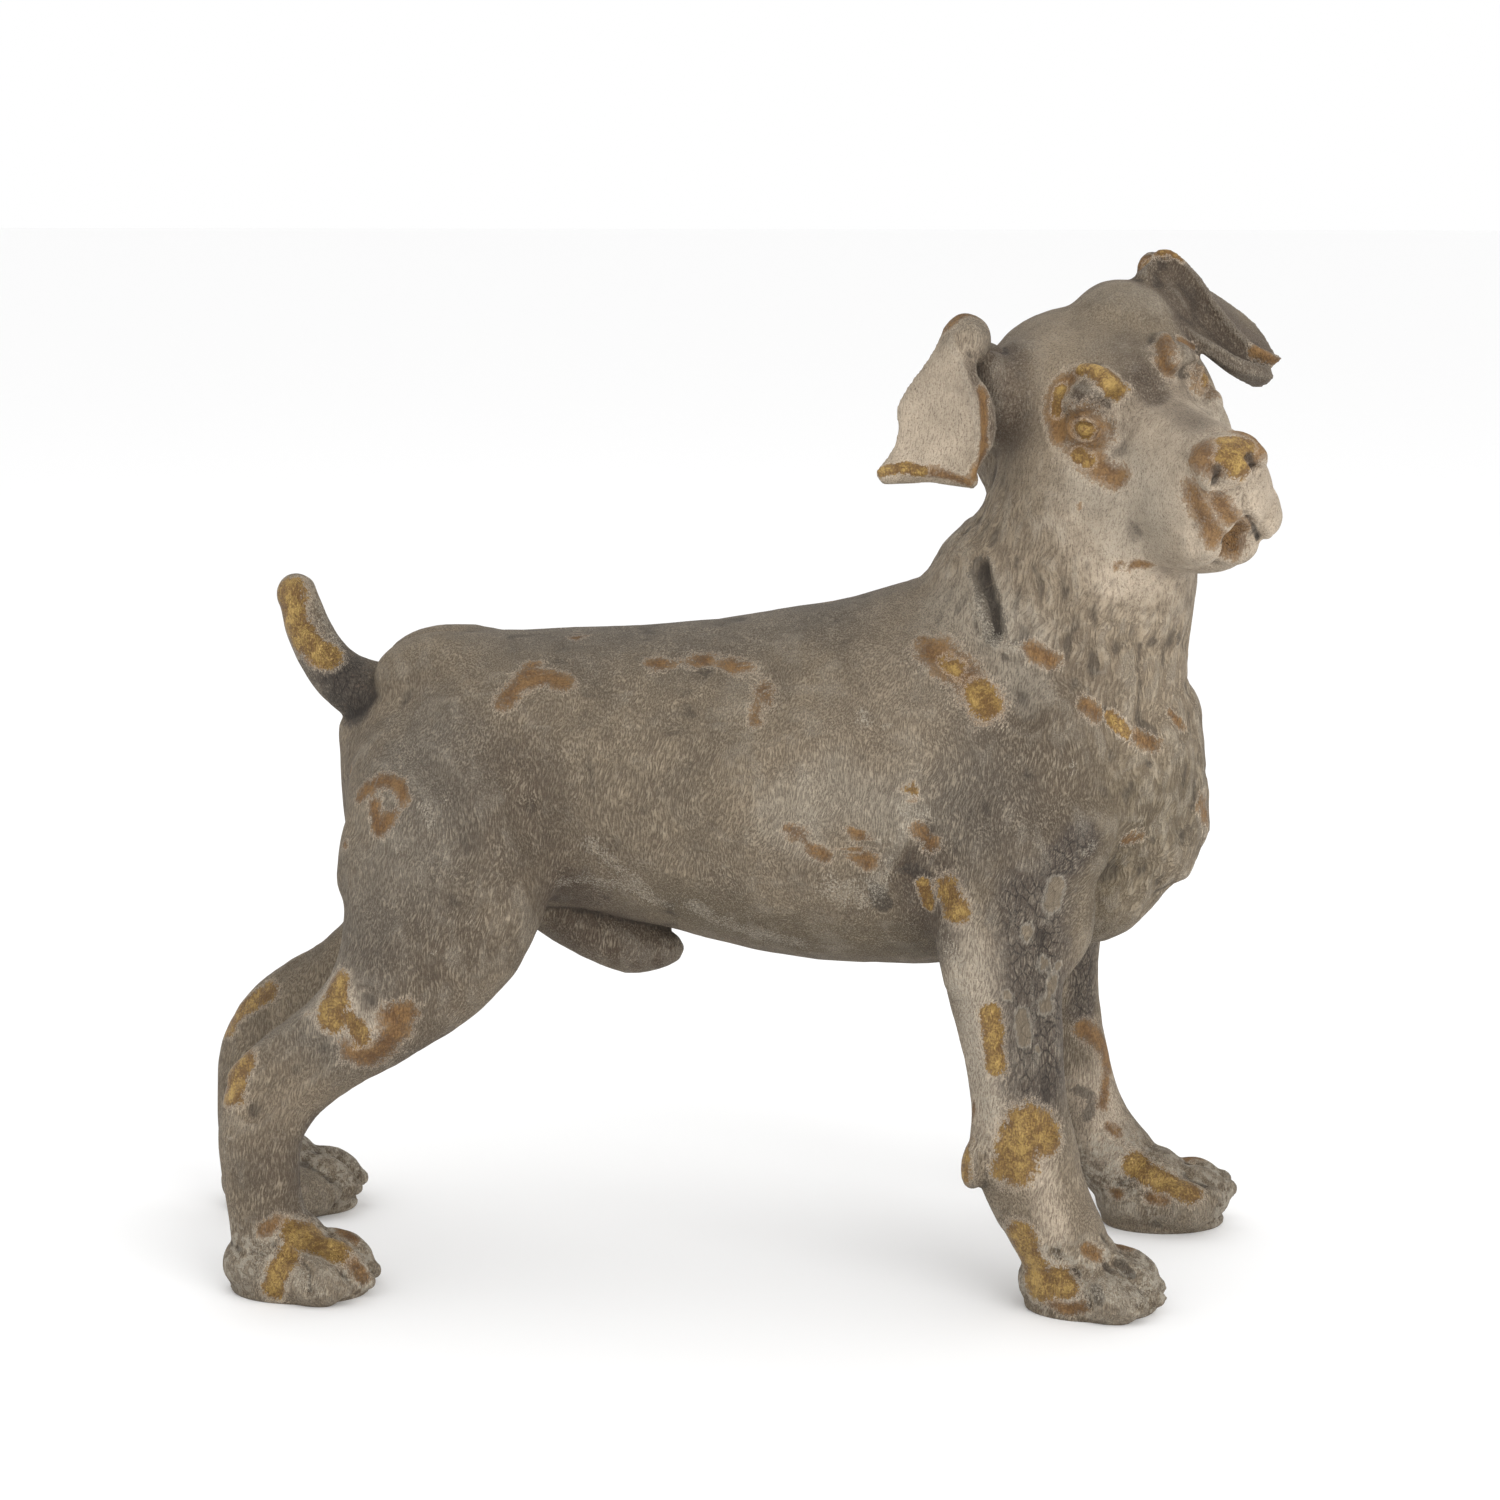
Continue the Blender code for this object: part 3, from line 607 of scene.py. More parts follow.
def stand(item):
    """Cuts the paws flat on the table and moves the figure's middle to the origin."""
    form = bmesh.new()
    form.from_mesh(item.data)
    whole = form.verts[:] + form.edges[:] + form.faces[:]
    bmesh.ops.bisect_plane(form, geom=whole, plane_co=(0, 0, 0), plane_no=(0, 0, 1), clear_inner=True)
    bmesh.ops.contextual_create(form, geom=[e for e in form.edges if e.is_boundary])
    bmesh.ops.recalc_face_normals(form, faces=form.faces)
    for face in form.faces:
        face.smooth = face.normal.z > -0.999
    low = Vector(min(v.co[i] for v in form.verts) for i in range(3))
    high = Vector(max(v.co[i] for v in form.verts) for i in range(3))
    middle = (low + high) / 2
    bmesh.ops.translate(form, verts=form.verts, vec=(-middle.x, -middle.y, 0))
    fit = 0.999 * min((cad_box[1][i] - cad_box[0][i]) / (high[i] - low[i]) for i in range(3))
    bmesh.ops.scale(form, verts=form.verts, vec=(fit, fit, fit))
    form.to_mesh(item.data)
    form.free()
    return Vector((-middle.x, -middle.y, 0))


thin = figure.modifiers.new("thin", "DECIMATE")
thin.ratio = CAST_TRIANGLES / (2 * len(figure.data.polygons))
bake(figure)
shift = stand(figure)
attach(figure, "root")
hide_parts("dog_figure")

# The fur in relief.
# The sculptor combed the clay with a wire tool: flat on the body, in curling locks on the neck and chest. The
# locks and the uneven hand-modelled surface are in the mesh, and the hair lines between them in the finish.


def near_line(places, path):
    """Distance in steps from each place to a line of places."""
    near = np.full(len(places), np.inf)
    if len(path) == 1:
        return np.linalg.norm(places - path[0], axis=1)
    for start, end in zip(path[:-1], path[1:]):
        run = end - start
        t = np.clip((places - start) @ run / (run @ run), 0, 1)
        near = np.minimum(near, np.linalg.norm(places - start - t[:, None] * run, axis=1))
    return near


def read_vertices(item, what="co"):
    mesh = item.data
    values = np.empty(len(mesh.vertices) * 3, np.float32)
    if what == "co":
        mesh.vertices.foreach_get("co", values)
    else:
        mesh.vertex_normals.foreach_get("vector", values)
    return values.reshape(-1, 3).astype(float)


class Coat:
    """What the finish needs to know at every vertex, as named values from -1, far outside a patch, to 1."""

    def __init__(self, item, move):
        self.item = item
        self.places = (read_vertices(item) - np.array(move)) / STEP
        self.values = {}

    def dab(self, name, radius, path, place=None):
        path = np.array([tuple((place or Matrix.Identity(4)) @ Vector(p)) for p in path])
        if len(path) > 2:
            path = curve_through(path, 3)
        old = self.values.setdefault(name, np.full(len(self.places), -1.0))
        low, high = path.min(axis=0) - 2 * radius, path.max(axis=0) + 2 * radius
        here = np.nonzero(np.all((self.places > low) & (self.places < high), axis=1))[0]
        old[here] = np.maximum(old[here], 1 - near_line(self.places[here], path) / radius)

    def weight(self, name, start=0.0, full=0.5):
        t = np.clip((self.values[name] - start) / (full - start), 0, 1)
        return t * t * (3 - 2 * t)

    def store(self):
        for name, values in self.values.items():
            layer = self.item.data.attributes.new(name, "FLOAT", "POINT")
            layer.data.foreach_set("value", values.astype(np.float32))


coat = Coat(figure, shift)
coat.dab("curls", 42, [(84, 0, 212), (94, -6, 192), (106, 0, 160), (112, 0, 140)])
coat.dab("lean", 24, [(104, -24, 130), (96, -32, 126)])
coat.dab("lean", 24, [(104, 24, 130), (96, 32, 126)])
coat.dab("bare", 46, [(-20, 0, -2), (0, 0, -8), (26, 0, -16)], head)
coat.dab("bare", 26, [(-36, -56, 12), (-30, -52, -4)], head)
coat.dab("bare", 26, [(-38, 46, 12), (-26, 50, -4)], head)


def ruffle(item, coat, pitch, height, seed, weight):
    """Raises soft lumps on the skin, longer down the coat than across it."""
    places, normals = read_vertices(item), read_vertices(item, "normal")
    squash = Vector((1 / pitch, 1 / pitch, 0.45 / pitch))
    lift = np.array(
        [noise.noise(Vector(p) / STEP * squash + Vector((seed, seed, seed))) for p in places]
    )
    places += normals * (lift * height * STEP * weight)[:, None]
    item.data.vertices.foreach_set("co", places.astype(np.float32).ravel())
    item.data.update()


def hollows(item, rounds, scale):
    """How far each vertex lies in a hollow, from its place against the smoothed skin, from -1 to 1."""
    edges = np.empty(len(item.data.edges) * 2, int)
    item.data.edges.foreach_get("vertices", edges)
    edges = edges.reshape(-1, 2)
    start = read_vertices(item)
    places = start.copy()
    count = np.bincount(edges.ravel(), minlength=len(start))[:, None]
    for step in range(rounds):
        total = np.zeros_like(places)
        for axis in range(3):
            total[:, axis] = np.bincount(edges[:, 0], places[edges[:, 1], axis], len(start))
            total[:, axis] += np.bincount(edges[:, 1], places[edges[:, 0], axis], len(start))
        places = total / count
    depth = ((places - start) * read_vertices(item, "normal")).sum(axis=1)
    return np.clip(depth / (scale * STEP), -1, 1)


# Painted shade: the deeper a vertex lies in a hollow of the skin, the more umber the finish lays on it.
coat.values["hollow"] = hollows(figure, 18, 1.2)
steady = 1 - 0.8 * coat.weight("bare", 0.1, 0.4)
on_floor = np.clip(coat.places[:, 2] / 4, 0, 1)
ruffle(figure, coat, 13, 0.45, 3.1, on_floor * steady)
ruffle(figure, coat, 3.8, 0.9, 7.7, on_floor * steady * coat.weight("curls", 0.0, 0.4))
ruffle(figure, coat, 3.2, 0.22, 1.9, on_floor * steady)

# The finish.
# The resin is painted by hand to look like old bronze: a gilt undercoat, then stone-grey paint with brown and
# slate washes, rubbed through to the gold on what stands proud, with chalky edges round every worn place.
# Some of these washes are painted shade and light: deep is shade in the recesses, and pale and chalky also lighten the
# sides of the muzzle.
washes_and_shade = {
    "pale": [
        (35, [(18, 0, -22), (36, 0, -19)], head),
        # Pale paint of the face. On the sides of the muzzle it is also painted light, where they turn from the key
        # lamp.
        (14, [(12, -19, -12), (22, -17, -18), (14, -20, -28)], head),
        (14, [(12, 19, -12), (22, 17, -18), (14, 20, -28)], head),
        (8, [(15, -27, -38), (17, -16, -42)], head),
        (8, [(2, -30, -24), (8, -28, -34)], head),
        (8, [(2, 30, -24), (8, 28, -34)], head),
        (20, [(-28, -60, 4), (-24, -46, 12)], head),
        (12, [(66, -46, 104), (70, -46, 60)], None),
        (5, [(84, -46, 46), (90, -44, 26)], None),
        (9, [(103, 36, 44), (110, 36, 24)], None),
        (9, [(56, -41, 120), (62, -43, 108), (68, -46, 92)], None),
        (9, [(-116, -44, 90), (-108, -46, 84)], None),
    ],
    "tan": [
        (30, [(60, -22, 202), (80, -32, 204), (98, -34, 196), (114, -24, 182)], None),
        (30, [(60, 22, 202), (80, 32, 204), (98, 34, 196), (114, 24, 182)], None),
        (22, [(18, -42, 146), (30, -40, 158), (46, -36, 174)], None),
        (14, [(-137, -44, 54), (-128, -40, 62)], None),
        (16, [(-128, -46, 14), (-114, -42, 12)], None),
        (14, [(88, -46, 40), (96, -44, 18)], None),
        (22, [(-12, -30, 0), (-30, -24, 18)], head),
    ],
    "slate": [
        (11, [(-126, -4, 182), (-116, 0, 173), (-108, 0, 168)], None),
        (22, [(-91, -35, 158), (-89, -40, 142), (-96, -43, 125)], None),
        (20, [(-91, 35, 158), (-89, 40, 142), (-96, 43, 125)], None),
        (17, [(-101, -43, 119), (-107, -43, 104), (-116, -46, 81)], None),
        (24, [(52, -36, 178), (50, -40, 160), (62, -44, 150)], None),
        (24, [(52, 36, 178), (50, 40, 160), (62, 44, 150)], None),
        (24, [(-60, 0, 192), (0, 0, 194), (40, 0, 202)], None),
    ],
    "moss": [
        (30, [(104, -26, 172), (114, -18, 152)], None),
        (30, [(104, 26, 172), (114, 18, 152)], None),
        (24, [(100, -26, 132), (98, 0, 116), (100, 26, 132)], None),
        (16, [(-20, -28, 110), (20, -26, 102), (40, -24, 104)], None),
    ],
    "umber": [
        (24, [(84, -34, 176), (80, -44, 146)], None),
        (20, [(-66, -34, 150), (-60, -30, 128)], None),
        (22, [(-84, -44, 108), (-100, -44, 84)], None),
        (15, [(-132, -43, 40), (-131, -42, 26)], None),
        (15, [(-56, -24, 8), (-40, -26, 16)], head),
        (13, [(2, 0, 5), (-8, 2, 10)], head),
        # Painted shade in the inner corners of the eyes, running down beside the bridge of the nose.
        (9, [(-4, -18, 8), (0, -14, 5), (3.8, -11.9, -0.8), (8, -13.2, -5)], head),
        (9, [(-4, 18, 8), (0, 14, 5), (3.8, 11.9, -0.8), (8, 13.2, -5)], head),
        (11, [(10, 0, 3), (30, -1, 2)], head),
        (9, [(-0.6, -20.4, -0.4), (3, -20, -7)], head),
        (9, [(-0.6, 20.4, -0.4), (3, 20, -7)], head),
        (8, [(40, 10.5, -10), (42, 9.5, -17)], head),
    ],
    "chalky": [
        # Painted light on the sides of the muzzle, where they turn from the key lamp; the other chalky dabs are chalky
        # paint.
        (14, [(8, -21, -12), (20, -18, -16), (18, -19, -26)], head),
        (14, [(8, 21, -12), (20, 18, -16), (18, 19, -26)], head),
        (11, [(56, -41, 122), (62, -44, 106), (68, -46, 92), (70, -46, 66)], None),
        (12, [(-118, -44, 92), (-111, -46, 84)], None),
        (13, [(56, -24, 202), (66, -28, 200), (76, -33, 193)], None),
        (14, [(14, -41, 144), (26, -41, 152)], None),
        (10, [(42, -40, 146), (36, -40, 150)], None),
        (9, [(74, -36, 186), (80, -36, 180)], None),
    ],
    # Painted shade: umber behind the ears, in the far ear's trough, between the eyes and along the nose, under the jaw,
    # in the armpit, the groin and under the belly, and inside the near hind leg.
    "deep": [
        (14, [(-36, -27, 18), (-31, -30, 10), (-25, -34, 0)], head),
        (6, [(-1, 0, 7), (4, 0, 4)], head),
        (8, [(12, 1, 9), (26, -1, 8)], head),
        (4, [(-4, -19, 8.6), (-1, -18, 7.4), (0, -15, 6)], head),
        (9, [(-24, -36, 14), (-19, -37, 4), (-16, -40, -4)], head),
        (17, [(-36, 34, 18), (-28, 38, 12), (-18, 42, -2), (-16, 50, -8)], head),
        (9, [(-34, 26, 16), (-20, 28, 8), (-12, 32, 0), (-10, 40, -5), (-10, 48, -10)], head),
        (8, [(-10, -31, -40), (0, -26, -44)], head),
        (12, [(52, -40, 128), (54, -40, 112)], None),
        (12, [(-48, -22, 112), (-54, -20, 122)], None),
        (13, [(-50, -8, 104), (-28, -8, 97)], None),
        (9, [(-120, -34, 52), (-128, -30, 30)], None),
    ],
    "plum": [
        (13, [(81, -47, 122), (83, -46, 106), (84, -45, 91), (85, -46, 72)], None),
        (7, [(88, -45, 132), (95, -42, 139)], None),
        (9, [(-119, -4, 177), (-112, -4, 169), (-106, 0, 170)], None),
        (6, [(99, 36, 108), (98, 34, 90), (99, 34, 70)], None),
    ],
    "grime": [
        (17, [(80, -38, 16), (98, -38, 10), (114, -36, 8)], None),
        (17, [(108, 40, 20), (122, 38, 12), (138, 42, 10)], None),
        (17, [(-140, -38, 12), (-120, -38, 12), (-108, -38, 8)], None),
        (17, [(-160, 38, 14), (-142, 38, 12), (-128, 38, 10)], None),
    ],
}
for name, dabs in washes_and_shade.items():
    for radius, path, place in dabs:
        coat.dab(name, radius, path, place)

gold = {
    "tail": [(5.4, [(-133, -4, 200), (-133, -6, 193), (-129, -6, 187)]), (4.0, [(-127, -6, 185), (-122, -6, 182)])],
    "shoulder": [(4.4, [(66, -35, 179), (68, -36, 175)]), (2.6, [(60, -32, 185), (57, -31, 187)])],
    "flank": [(2.6, [(45, -41, 155), (47, -42, 152)]), (2.2, [(51, -39, 125), (53, -37, 119)])],
    "armpit": [(4.4, [(59, -40, 125), (61, -44, 119)])],
    "chest": [(2.4, [(103, -32, 172), (107, -30, 167)])],
    "foreleg": [
        (3.4, [(70, -47, 90), (71, -47, 83), (72, -47, 75)]),
        (7.0, [(81, -47, 58), (79, -47, 52), (78, -46, 46)]),
        (5.0, [(86, -46, 57), (87, -46, 53)]),
        (4.4, [(63, -38, 50), (63, -40, 42)]),
    ],
    "forepaw": [(5.4, [(80, -42, 24), (83, -42, 16), (86, -44, 10)]), (4.0, [(91, -45, 13), (93, -46, 10)])],
    "far_forepaw": [(4.2, [(116, 33, 21), (121, 30, 18), (128, 28, 16), (133, 27, 14)])],
    "hind_leg": [
        (4.4, [(-114, -42, 94), (-115, -44, 89), (-116, -45, 84)]),
        (3.4, [(-111, -46, 85), (-107, -46, 80)]),
        (4.8, [(-143, -41, 71), (-145, -41, 66), (-146, -41, 61)]),
        (3.0, [(-149, -36, 66), (-146, -39, 62)]),
        (4.0, [(-166, 36, 58), (-164, 35, 62), (-160, 34, 66), (-152, 32, 71)]),
    ],
    "hind_paw": [
        (5.6, [(-127, -44, 20), (-122, -42, 18), (-117, -42, 16)]),
        (4.0, [(-130, -48, 14), (-132, -49, 10), (-134, -48, 5)]),
    ],
}
gold_on_head = {
    "brow": [
        (3.0, [(-9.5, -14, 13.6), (-6, -12.2, 14), (-3, -11.2, 14)]),
        (4.2, [(-3, -11.2, 14), (0.4, -10.6, 11.6), (1.4, -9.5, 8.7)]),
    ],
    "brow_side": [(2.0, [(-11.6, -19.6, 7.8), (-10.4, -22.4, 3)])],
    "eye": [(3.0, [(-0.6, -20.4, -0.4)]), (3.4, [(-0.6, 20.4, -0.4)])],
    "under_eye": [(2.4, [(0, -23.6, -6.8), (2, -22.2, -8.2)])],
    "nose": [(4.4, [(44, -3, 1), (46, -1.5, -3)]), (3.0, [(40, -2, 4), (43, 4, 1)])],
    "ear_hem": [(2.0, [(-31, -68, -5), (-28, -64, -4), (-23, -60, -5)])],
    "far_ear": [(2.0, [(-38, 27, 22), (-36, 29, 25), (-33, 33, 25), (-30, 36, 22)])],
}
ochre = {
    "tail": [(1.8, [(-128, -6, 181), (-124, -7, 180)])],
    "back": [
        (3.2, [(-68, -27, 173), (-64, -24, 177), (-60, -20, 182)]),
        (3.0, [(-57, -22, 180), (-51, -23, 178)]),
        (2.4, [(-50, -8, 189), (-48, -7, 189)]),
        (2.8, [(-26, -20, 183), (-23, -21, 184)]),
        (2.8, [(-14, -20, 184), (-11, -21, 185)]),
        (3.2, [(-3, -24, 184), (0, -25, 183)]),
        (3.0, [(6, -30, 178), (6, -32, 175)]),
        (2.6, [(4, -34, 170)]),
    ],
    "nape": [(1.6, [(22, 3, 198), (25, 3, 199)])],
    "rump": [
        (2.4, [(-109, -31, 146), (-104, -33, 151), (-97, -36, 151), (-95, -38, 147)]),
        (2.4, [(-104, -35, 145), (-102, -39, 138), (-99, -39, 142)]),
        (1.8, [(-113, -34, 133)]),
        (1.6, [(-114, -18, 151)]),
    ],
    "flank": [
        (2.8, [(14, -41, 140), (17, -41, 139)]),
        (2.6, [(20, -41, 135), (24, -40, 133)]),
        (2.6, [(29, -42, 148), (31, -42, 146)]),
        (2.6, [(32, -41, 141), (35, -41, 139)]),
        (2.8, [(33, -41, 134), (36, -40, 131)]),
        (3.0, [(50, -42, 141), (53, -41, 137)]),
        (1.6, [(48, -42, 150)]),
    ],
    "shoulder": [(5.6, [(53, -29, 189), (58, -31, 186), (64, -34, 181), (68, -36, 175)]), (1.8, [(50, -26, 192), (51, -28, 190)])],
    "neck": [(3.0, [(80, -34, 191), (84, -34, 189), (86, -34, 188)])],
    "chest": [
        (2.6, [(95, -36, 176), (99, -35, 173)]),
        (2.8, [(110, -29, 166), (115, -25, 163)]),
        (1.8, [(120, -20, 171), (123, -16, 166)]),
        (3.6, [(128, -9, 144), (130, -4, 138), (127, -4, 134)]),
        (2.2, [(108, -26, 136), (111, -24, 137)]),
    ],
    "foreleg": [(3.0, [(82, -47, 60), (84, -47, 57)]), (1.6, [(66, -41, 62), (64, -38, 54)])],
    "forepaw": [
        (2.6, [(89, -46, 5), (93, -46, 4), (97, -48, 5)]),
        (2.4, [(99, -44, 21), (102, -43, 19)]),
        (2.2, [(107, -31, 18), (111, -30, 17)]),
    ],
    "far_foreleg": [
        (4.0, [(100, 34, 63), (106, 40, 56), (108, 40, 50)]),
        (2.6, [(107, 38, 46), (106, 35, 39)]),
        (2.2, [(108, 34, 32), (111, 35, 30)]),
        (2.0, [(133, 45, 19), (138, 48, 17)]),
        (2.6, [(121, 28, 12), (125, 26, 12)]),
    ],
    "hind_leg": [
        (4.4, [(-110, -46, 76), (-104, -45, 74), (-97, -45, 82)]),
        (4.0, [(-99, -47, 86), (-94, -46, 87)]),
        (1.2, [(-147, -36, 66), (-140, -38, 72), (-128, -40, 80), (-122, -42, 85)]),
    ],
    "hind_paw": [
        (2.6, [(-137, -46, 21), (-133, -44, 23), (-129, -43, 21)]),
        (2.4, [(-117, -32, 17), (-113, -33, 15)]),
        (2.8, [(-112, -44, 12), (-109, -43, 7)]),
    ],
}
ochre_on_head = {
    "brow": [(3.6, [(-10, -14, 13), (-12, -19.6, 8), (-10.4, -23, 2.4), (-7.4, -24.4, -2.6)])],
    "eye": [
        (7.4, [(-1.6, -21.4, 0), (1.4, -20, -1)]),
        (4.6, [(0, -23, -5), (3, -21.4, -8.4), (6.3, -19.8, -10.8), (9.4, -18, -12.4)]),
    ],
    "far_brow": [(3.4, [(-4, 11, 13), (-1.4, 9, 11.4), (0, 8, 8)]), (1.8, [(-11, 20, 8), (-15, 26, 3)])],
    "far_eye": [(6.4, [(-0.6, 21, -0.4)])],
    "nose": [(7.0, [(38, -8, 0), (43, -6, 0), (45, 0, -1), (43, 6, 0), (38, 8, 0)])],
    "chin": [(5.5, [(40.5, -1.5, -24), (38.6, -2.5, -28.5)])],
    "lip": [(4.4, [(37, -13, -9), (41, -12, -16), (42, -10, -22)]), (3.6, [(43, -8, -12), (45, -6, -17)])],
    "jaw": [(1.8, [(15, -25, -35), (16, -21, -36), (17, -16, -37)])],
    "cheek": [(1.3, [(6, -29, -18)])],
    "near_ear": [
        (2.2, [(-36, -41, 27), (-33, -38, 30), (-34, -33, 29), (-32, -30, 25)]),
        (2.6, [(-21, -39, 11), (-15.6, -43.5, 1), (-12, -49, -7)]),
        (2.2, [(-28, -64, -4), (-23, -60, -5), (-18, -56, -6), (-13, -52, -9)]),
    ],
    "far_ear": [(2.6, [(-40, 28, 20), (-37, 30, 25), (-33, 34, 24)]), (2.4, [(-14, 46, -6), (-12, 51, -11)])],
}
chalk = {
    "tail": [(2.0, [(-126, -2, 197), (-122, -2, 189), (-120, -2, 186)])],
    "rump": [
        (1.6, [(-93, -25, 169)]),
        (1.4, [(-96, -42, 133)]),
        (1.2, [(-86, -46, 105)]),
        (1.2, [(-83, -40, 147)]),
        (1.8, [(-89, -40, 146), (-87, -41, 140)]),
    ],
    "belly": [
        (2.4, [(-53, -24, 120), (-46, -24, 121), (-35, -26, 120), (-27, -26, 117)]),
        (2.8, [(-43, -31, 133), (-35, -29, 125), (-24, -24, 114)]),
        (3.4, [(-15, -27, 115), (-7, -25, 110), (5, -24, 106), (16, -23, 103)]),
        (4.2, [(24, -36, 124), (32, -38, 120), (38, -38, 126)]),
        (3.0, [(40, -39, 134), (44, -40, 142)]),
    ],
    "shoulder": [
        (1.6, [(33, -36, 172), (35, -37, 170)]),
        (1.4, [(40, -37, 170), (43, -38, 169)]),
        (2.8, [(47, -42, 148), (51, -42, 145)]),
        (2.2, [(65, -26, 203), (67, -29, 197), (69, -31, 194)]),
        (2.4, [(71, -31, 193), (74, -32, 191), (78, -33, 191)]),
        (1.5, [(92, -40, 160)]),
        (1.5, [(96, -42, 136), (98, -40, 137)]),
    ],
    "foreleg": [
        (3.2, [(61, -44, 99), (64, -44, 87), (66, -43, 73)]),
        (3.0, [(59, -41, 113), (61, -44, 105)]),
        (3.0, [(71, -46, 65), (69, -44, 50)]),
        (3.0, [(85, -44, 19), (94, -46, 15), (97, -48, 7)]),
        (3.0, [(102, -49, 11), (111, -49, 8), (117, -42, 9)]),
        (2.6, [(108, 33, 25), (109, 32, 16)]),
    ],
    "hind_leg": [
        (3.0, [(-138, -46, 16), (-137, -49, 9)]),
        (2.6, [(-125, -52, 9), (-121, -52, 6)]),
        (1.2, [(-147, -42, 47), (-149, -38, 31)]),
        (1.8, [(-106, -47, 85), (-109, -47, 81), (-110, -46, 77)]),
    ],
}
blotches = [
    (2.2, [(80, -47, 114)]),
    (2.2, [(85, -44, 104)]),
    (1.5, [(89, -41, 103)]),
    (1.7, [(88, -42, 99), (87, -43, 96)]),
    (2.8, [(86, -44, 92)]),
    (2.2, [(79, -47, 90), (80, -47, 83)]),
    (1.5, [(75, -47, 96)]),
    (2.6, [(88, -45, 127), (87, -45, 121)]),
    (1.6, [(84, -46, 80)]),
]
# Dark marks, part paint and part painted shade: those in the neck crease, at the armpit and between the toes of the
# near forepaw are painted shade; the rest, as at the root of the tail, are dark paint.
dark_paint_and_shade = [
    (3.6, [(66, -23, 213), (67, -27, 206), (69, -29, 201), (70, -31, 195)]),
    (3.0, [(37, -38, 124), (40, -36, 118)]),
    (2.4, [(47, -40, 129), (52, -39, 127)]),
    (1.8, [(122, -17, 191), (123, -15, 194)]),
    (1.6, [(113, -27, 158)]),
    (1.8, [(101, -49, 11), (102, -50, 8)]),
    (1.8, [(108, -41, 16), (111, -42, 13)]),
    (2.0, [(98, 33, 44), (103, 34, 41), (101, 34, 35)]),
    (7.0, [(-118, -4, 175), (-112, -6, 168), (-110, 4, 168)]),
]
wander = np.random.default_rng(11)
for name, places, place in (
    ("gold", gold, None),
    ("gold", gold_on_head, head),
    ("ochre", ochre, None),
    ("ochre", ochre_on_head, head),
    ("chalk", chalk, None),
):
    for dabs in places.values():
        for radius, path in dabs:
            coat.dab(name, radius, path, place)
            slip = wander.uniform(-7, 7, 2)
            if place is None and path[0][1] < -15 and wander.random() < 0.7:
                opposite = [(x + slip[0], -y, z + slip[1]) for x, y, z in path]
                coat.dab(name, radius * wander.uniform(0.6, 1.0), opposite, place)
for radius, path in blotches:
    coat.dab("blotch", radius, path)
for radius, path in dark_paint_and_shade:
    coat.dab("dark_paint_and_shade", radius, path)
for side in (-1, 1):
    coat.dab("shade", 2.1, [(43.0, side * 5 - 2.2, -2.6), (41.8, side * 6 - 2, -6)], head)
coat.dab("shade", 1.4, [(41.4, -2.8, -20), (40.4, -5.4, -23.6), (39.4, -8.6, -27), (38.4, -11, -29)], head)
coat.dab("shade", 1.1, [(41.6, 0.8, -20.2), (41.2, 2.2, -23), (39.8, 4.2, -27), (38, 5.6, -30.6)], head)
# Painted shade: the fine creases measured here are darkened with near-black in the finish.
coat.values["crease"] = hollows(figure, 4, 0.25)
coat.store()


def add(tree, kind, inputs=(), **settings):
    """A shader node with its settings, and its inputs set or linked."""
    made = tree.nodes.new(kind)
    for key, value in settings.items():
        setattr(made, key, value)
    for key, value in dict(inputs).items():
        if isinstance(value, bpy.types.NodeSocket):
            tree.links.new(value, made.inputs[key])
        else:
            made.inputs[key].default_value = value
    return made


def sum_of(tree, operation, first, second=0.0, third=0.0, clamp=False):
    kind = "ShaderNodeMath"
    return add(tree, kind, {0: first, 1: second, 2: third}, operation=operation, use_clamp=clamp).outputs[0]


def ramp(tree, value, low, high, out_low=0.0, out_high=1.0):
    inputs = {0: value, 1: low, 2: high, 3: out_low, 4: out_high}
    return add(tree, "ShaderNodeMapRange", inputs, interpolation_type="SMOOTHSTEP").outputs[0]


def grain(tree, place, scale, detail=2.0, roughness=0.55, distortion=0.0):
    inputs = {"Vector": place, "Scale": scale, "Detail": detail, "Roughness": roughness, "Distortion": distortion}
    return add(tree, "ShaderNodeTexNoise", inputs)


def blend(tree, share, under, over, how="MIX"):
    made = add(tree, "ShaderNodeMix", {0: share, 6: under, 7: over}, data_type="RGBA", blend_type=how)
    return made.outputs[2]


def new_group(name, inputs, outputs):
    group = bpy.data.node_groups.new(name, "ShaderNodeTree")
    for label, kind in inputs:
        group.interface.new_socket(label, in_out="INPUT", socket_type=kind)
    for label, kind in outputs:
        group.interface.new_socket(label, in_out="OUTPUT", socket_type=kind)
    return group, add(group, "NodeGroupInput"), add(group, "NodeGroupOutput")


def combed(tree, place, turn, strand, detail):
    """Grain drawn out along a direction: turn is its angle, strand its width and length in millimetres."""
    turned = add(tree, "ShaderNodeMapping", {0: place, 2: turn, 3: strand}, vector_type="TEXTURE")
    return grain(tree, turned.outputs[0], 1.0, detail).outputs["Fac"]


def bent(tree, place, scale, reach):
    """The place pushed about by a soft noise, so that hair lines wander."""
    drift = grain(tree, place, scale, 1.0).outputs["Color"]
    drift = add(tree, "ShaderNodeVectorMath", {0: drift, 1: (0.5, 0.5, 0.5)}, operation="SUBTRACT").outputs[0]
    return add(tree, "ShaderNodeVectorMath", {0: drift, 1: reach, 2: place}, operation="MULTIPLY_ADD").outputs[0]


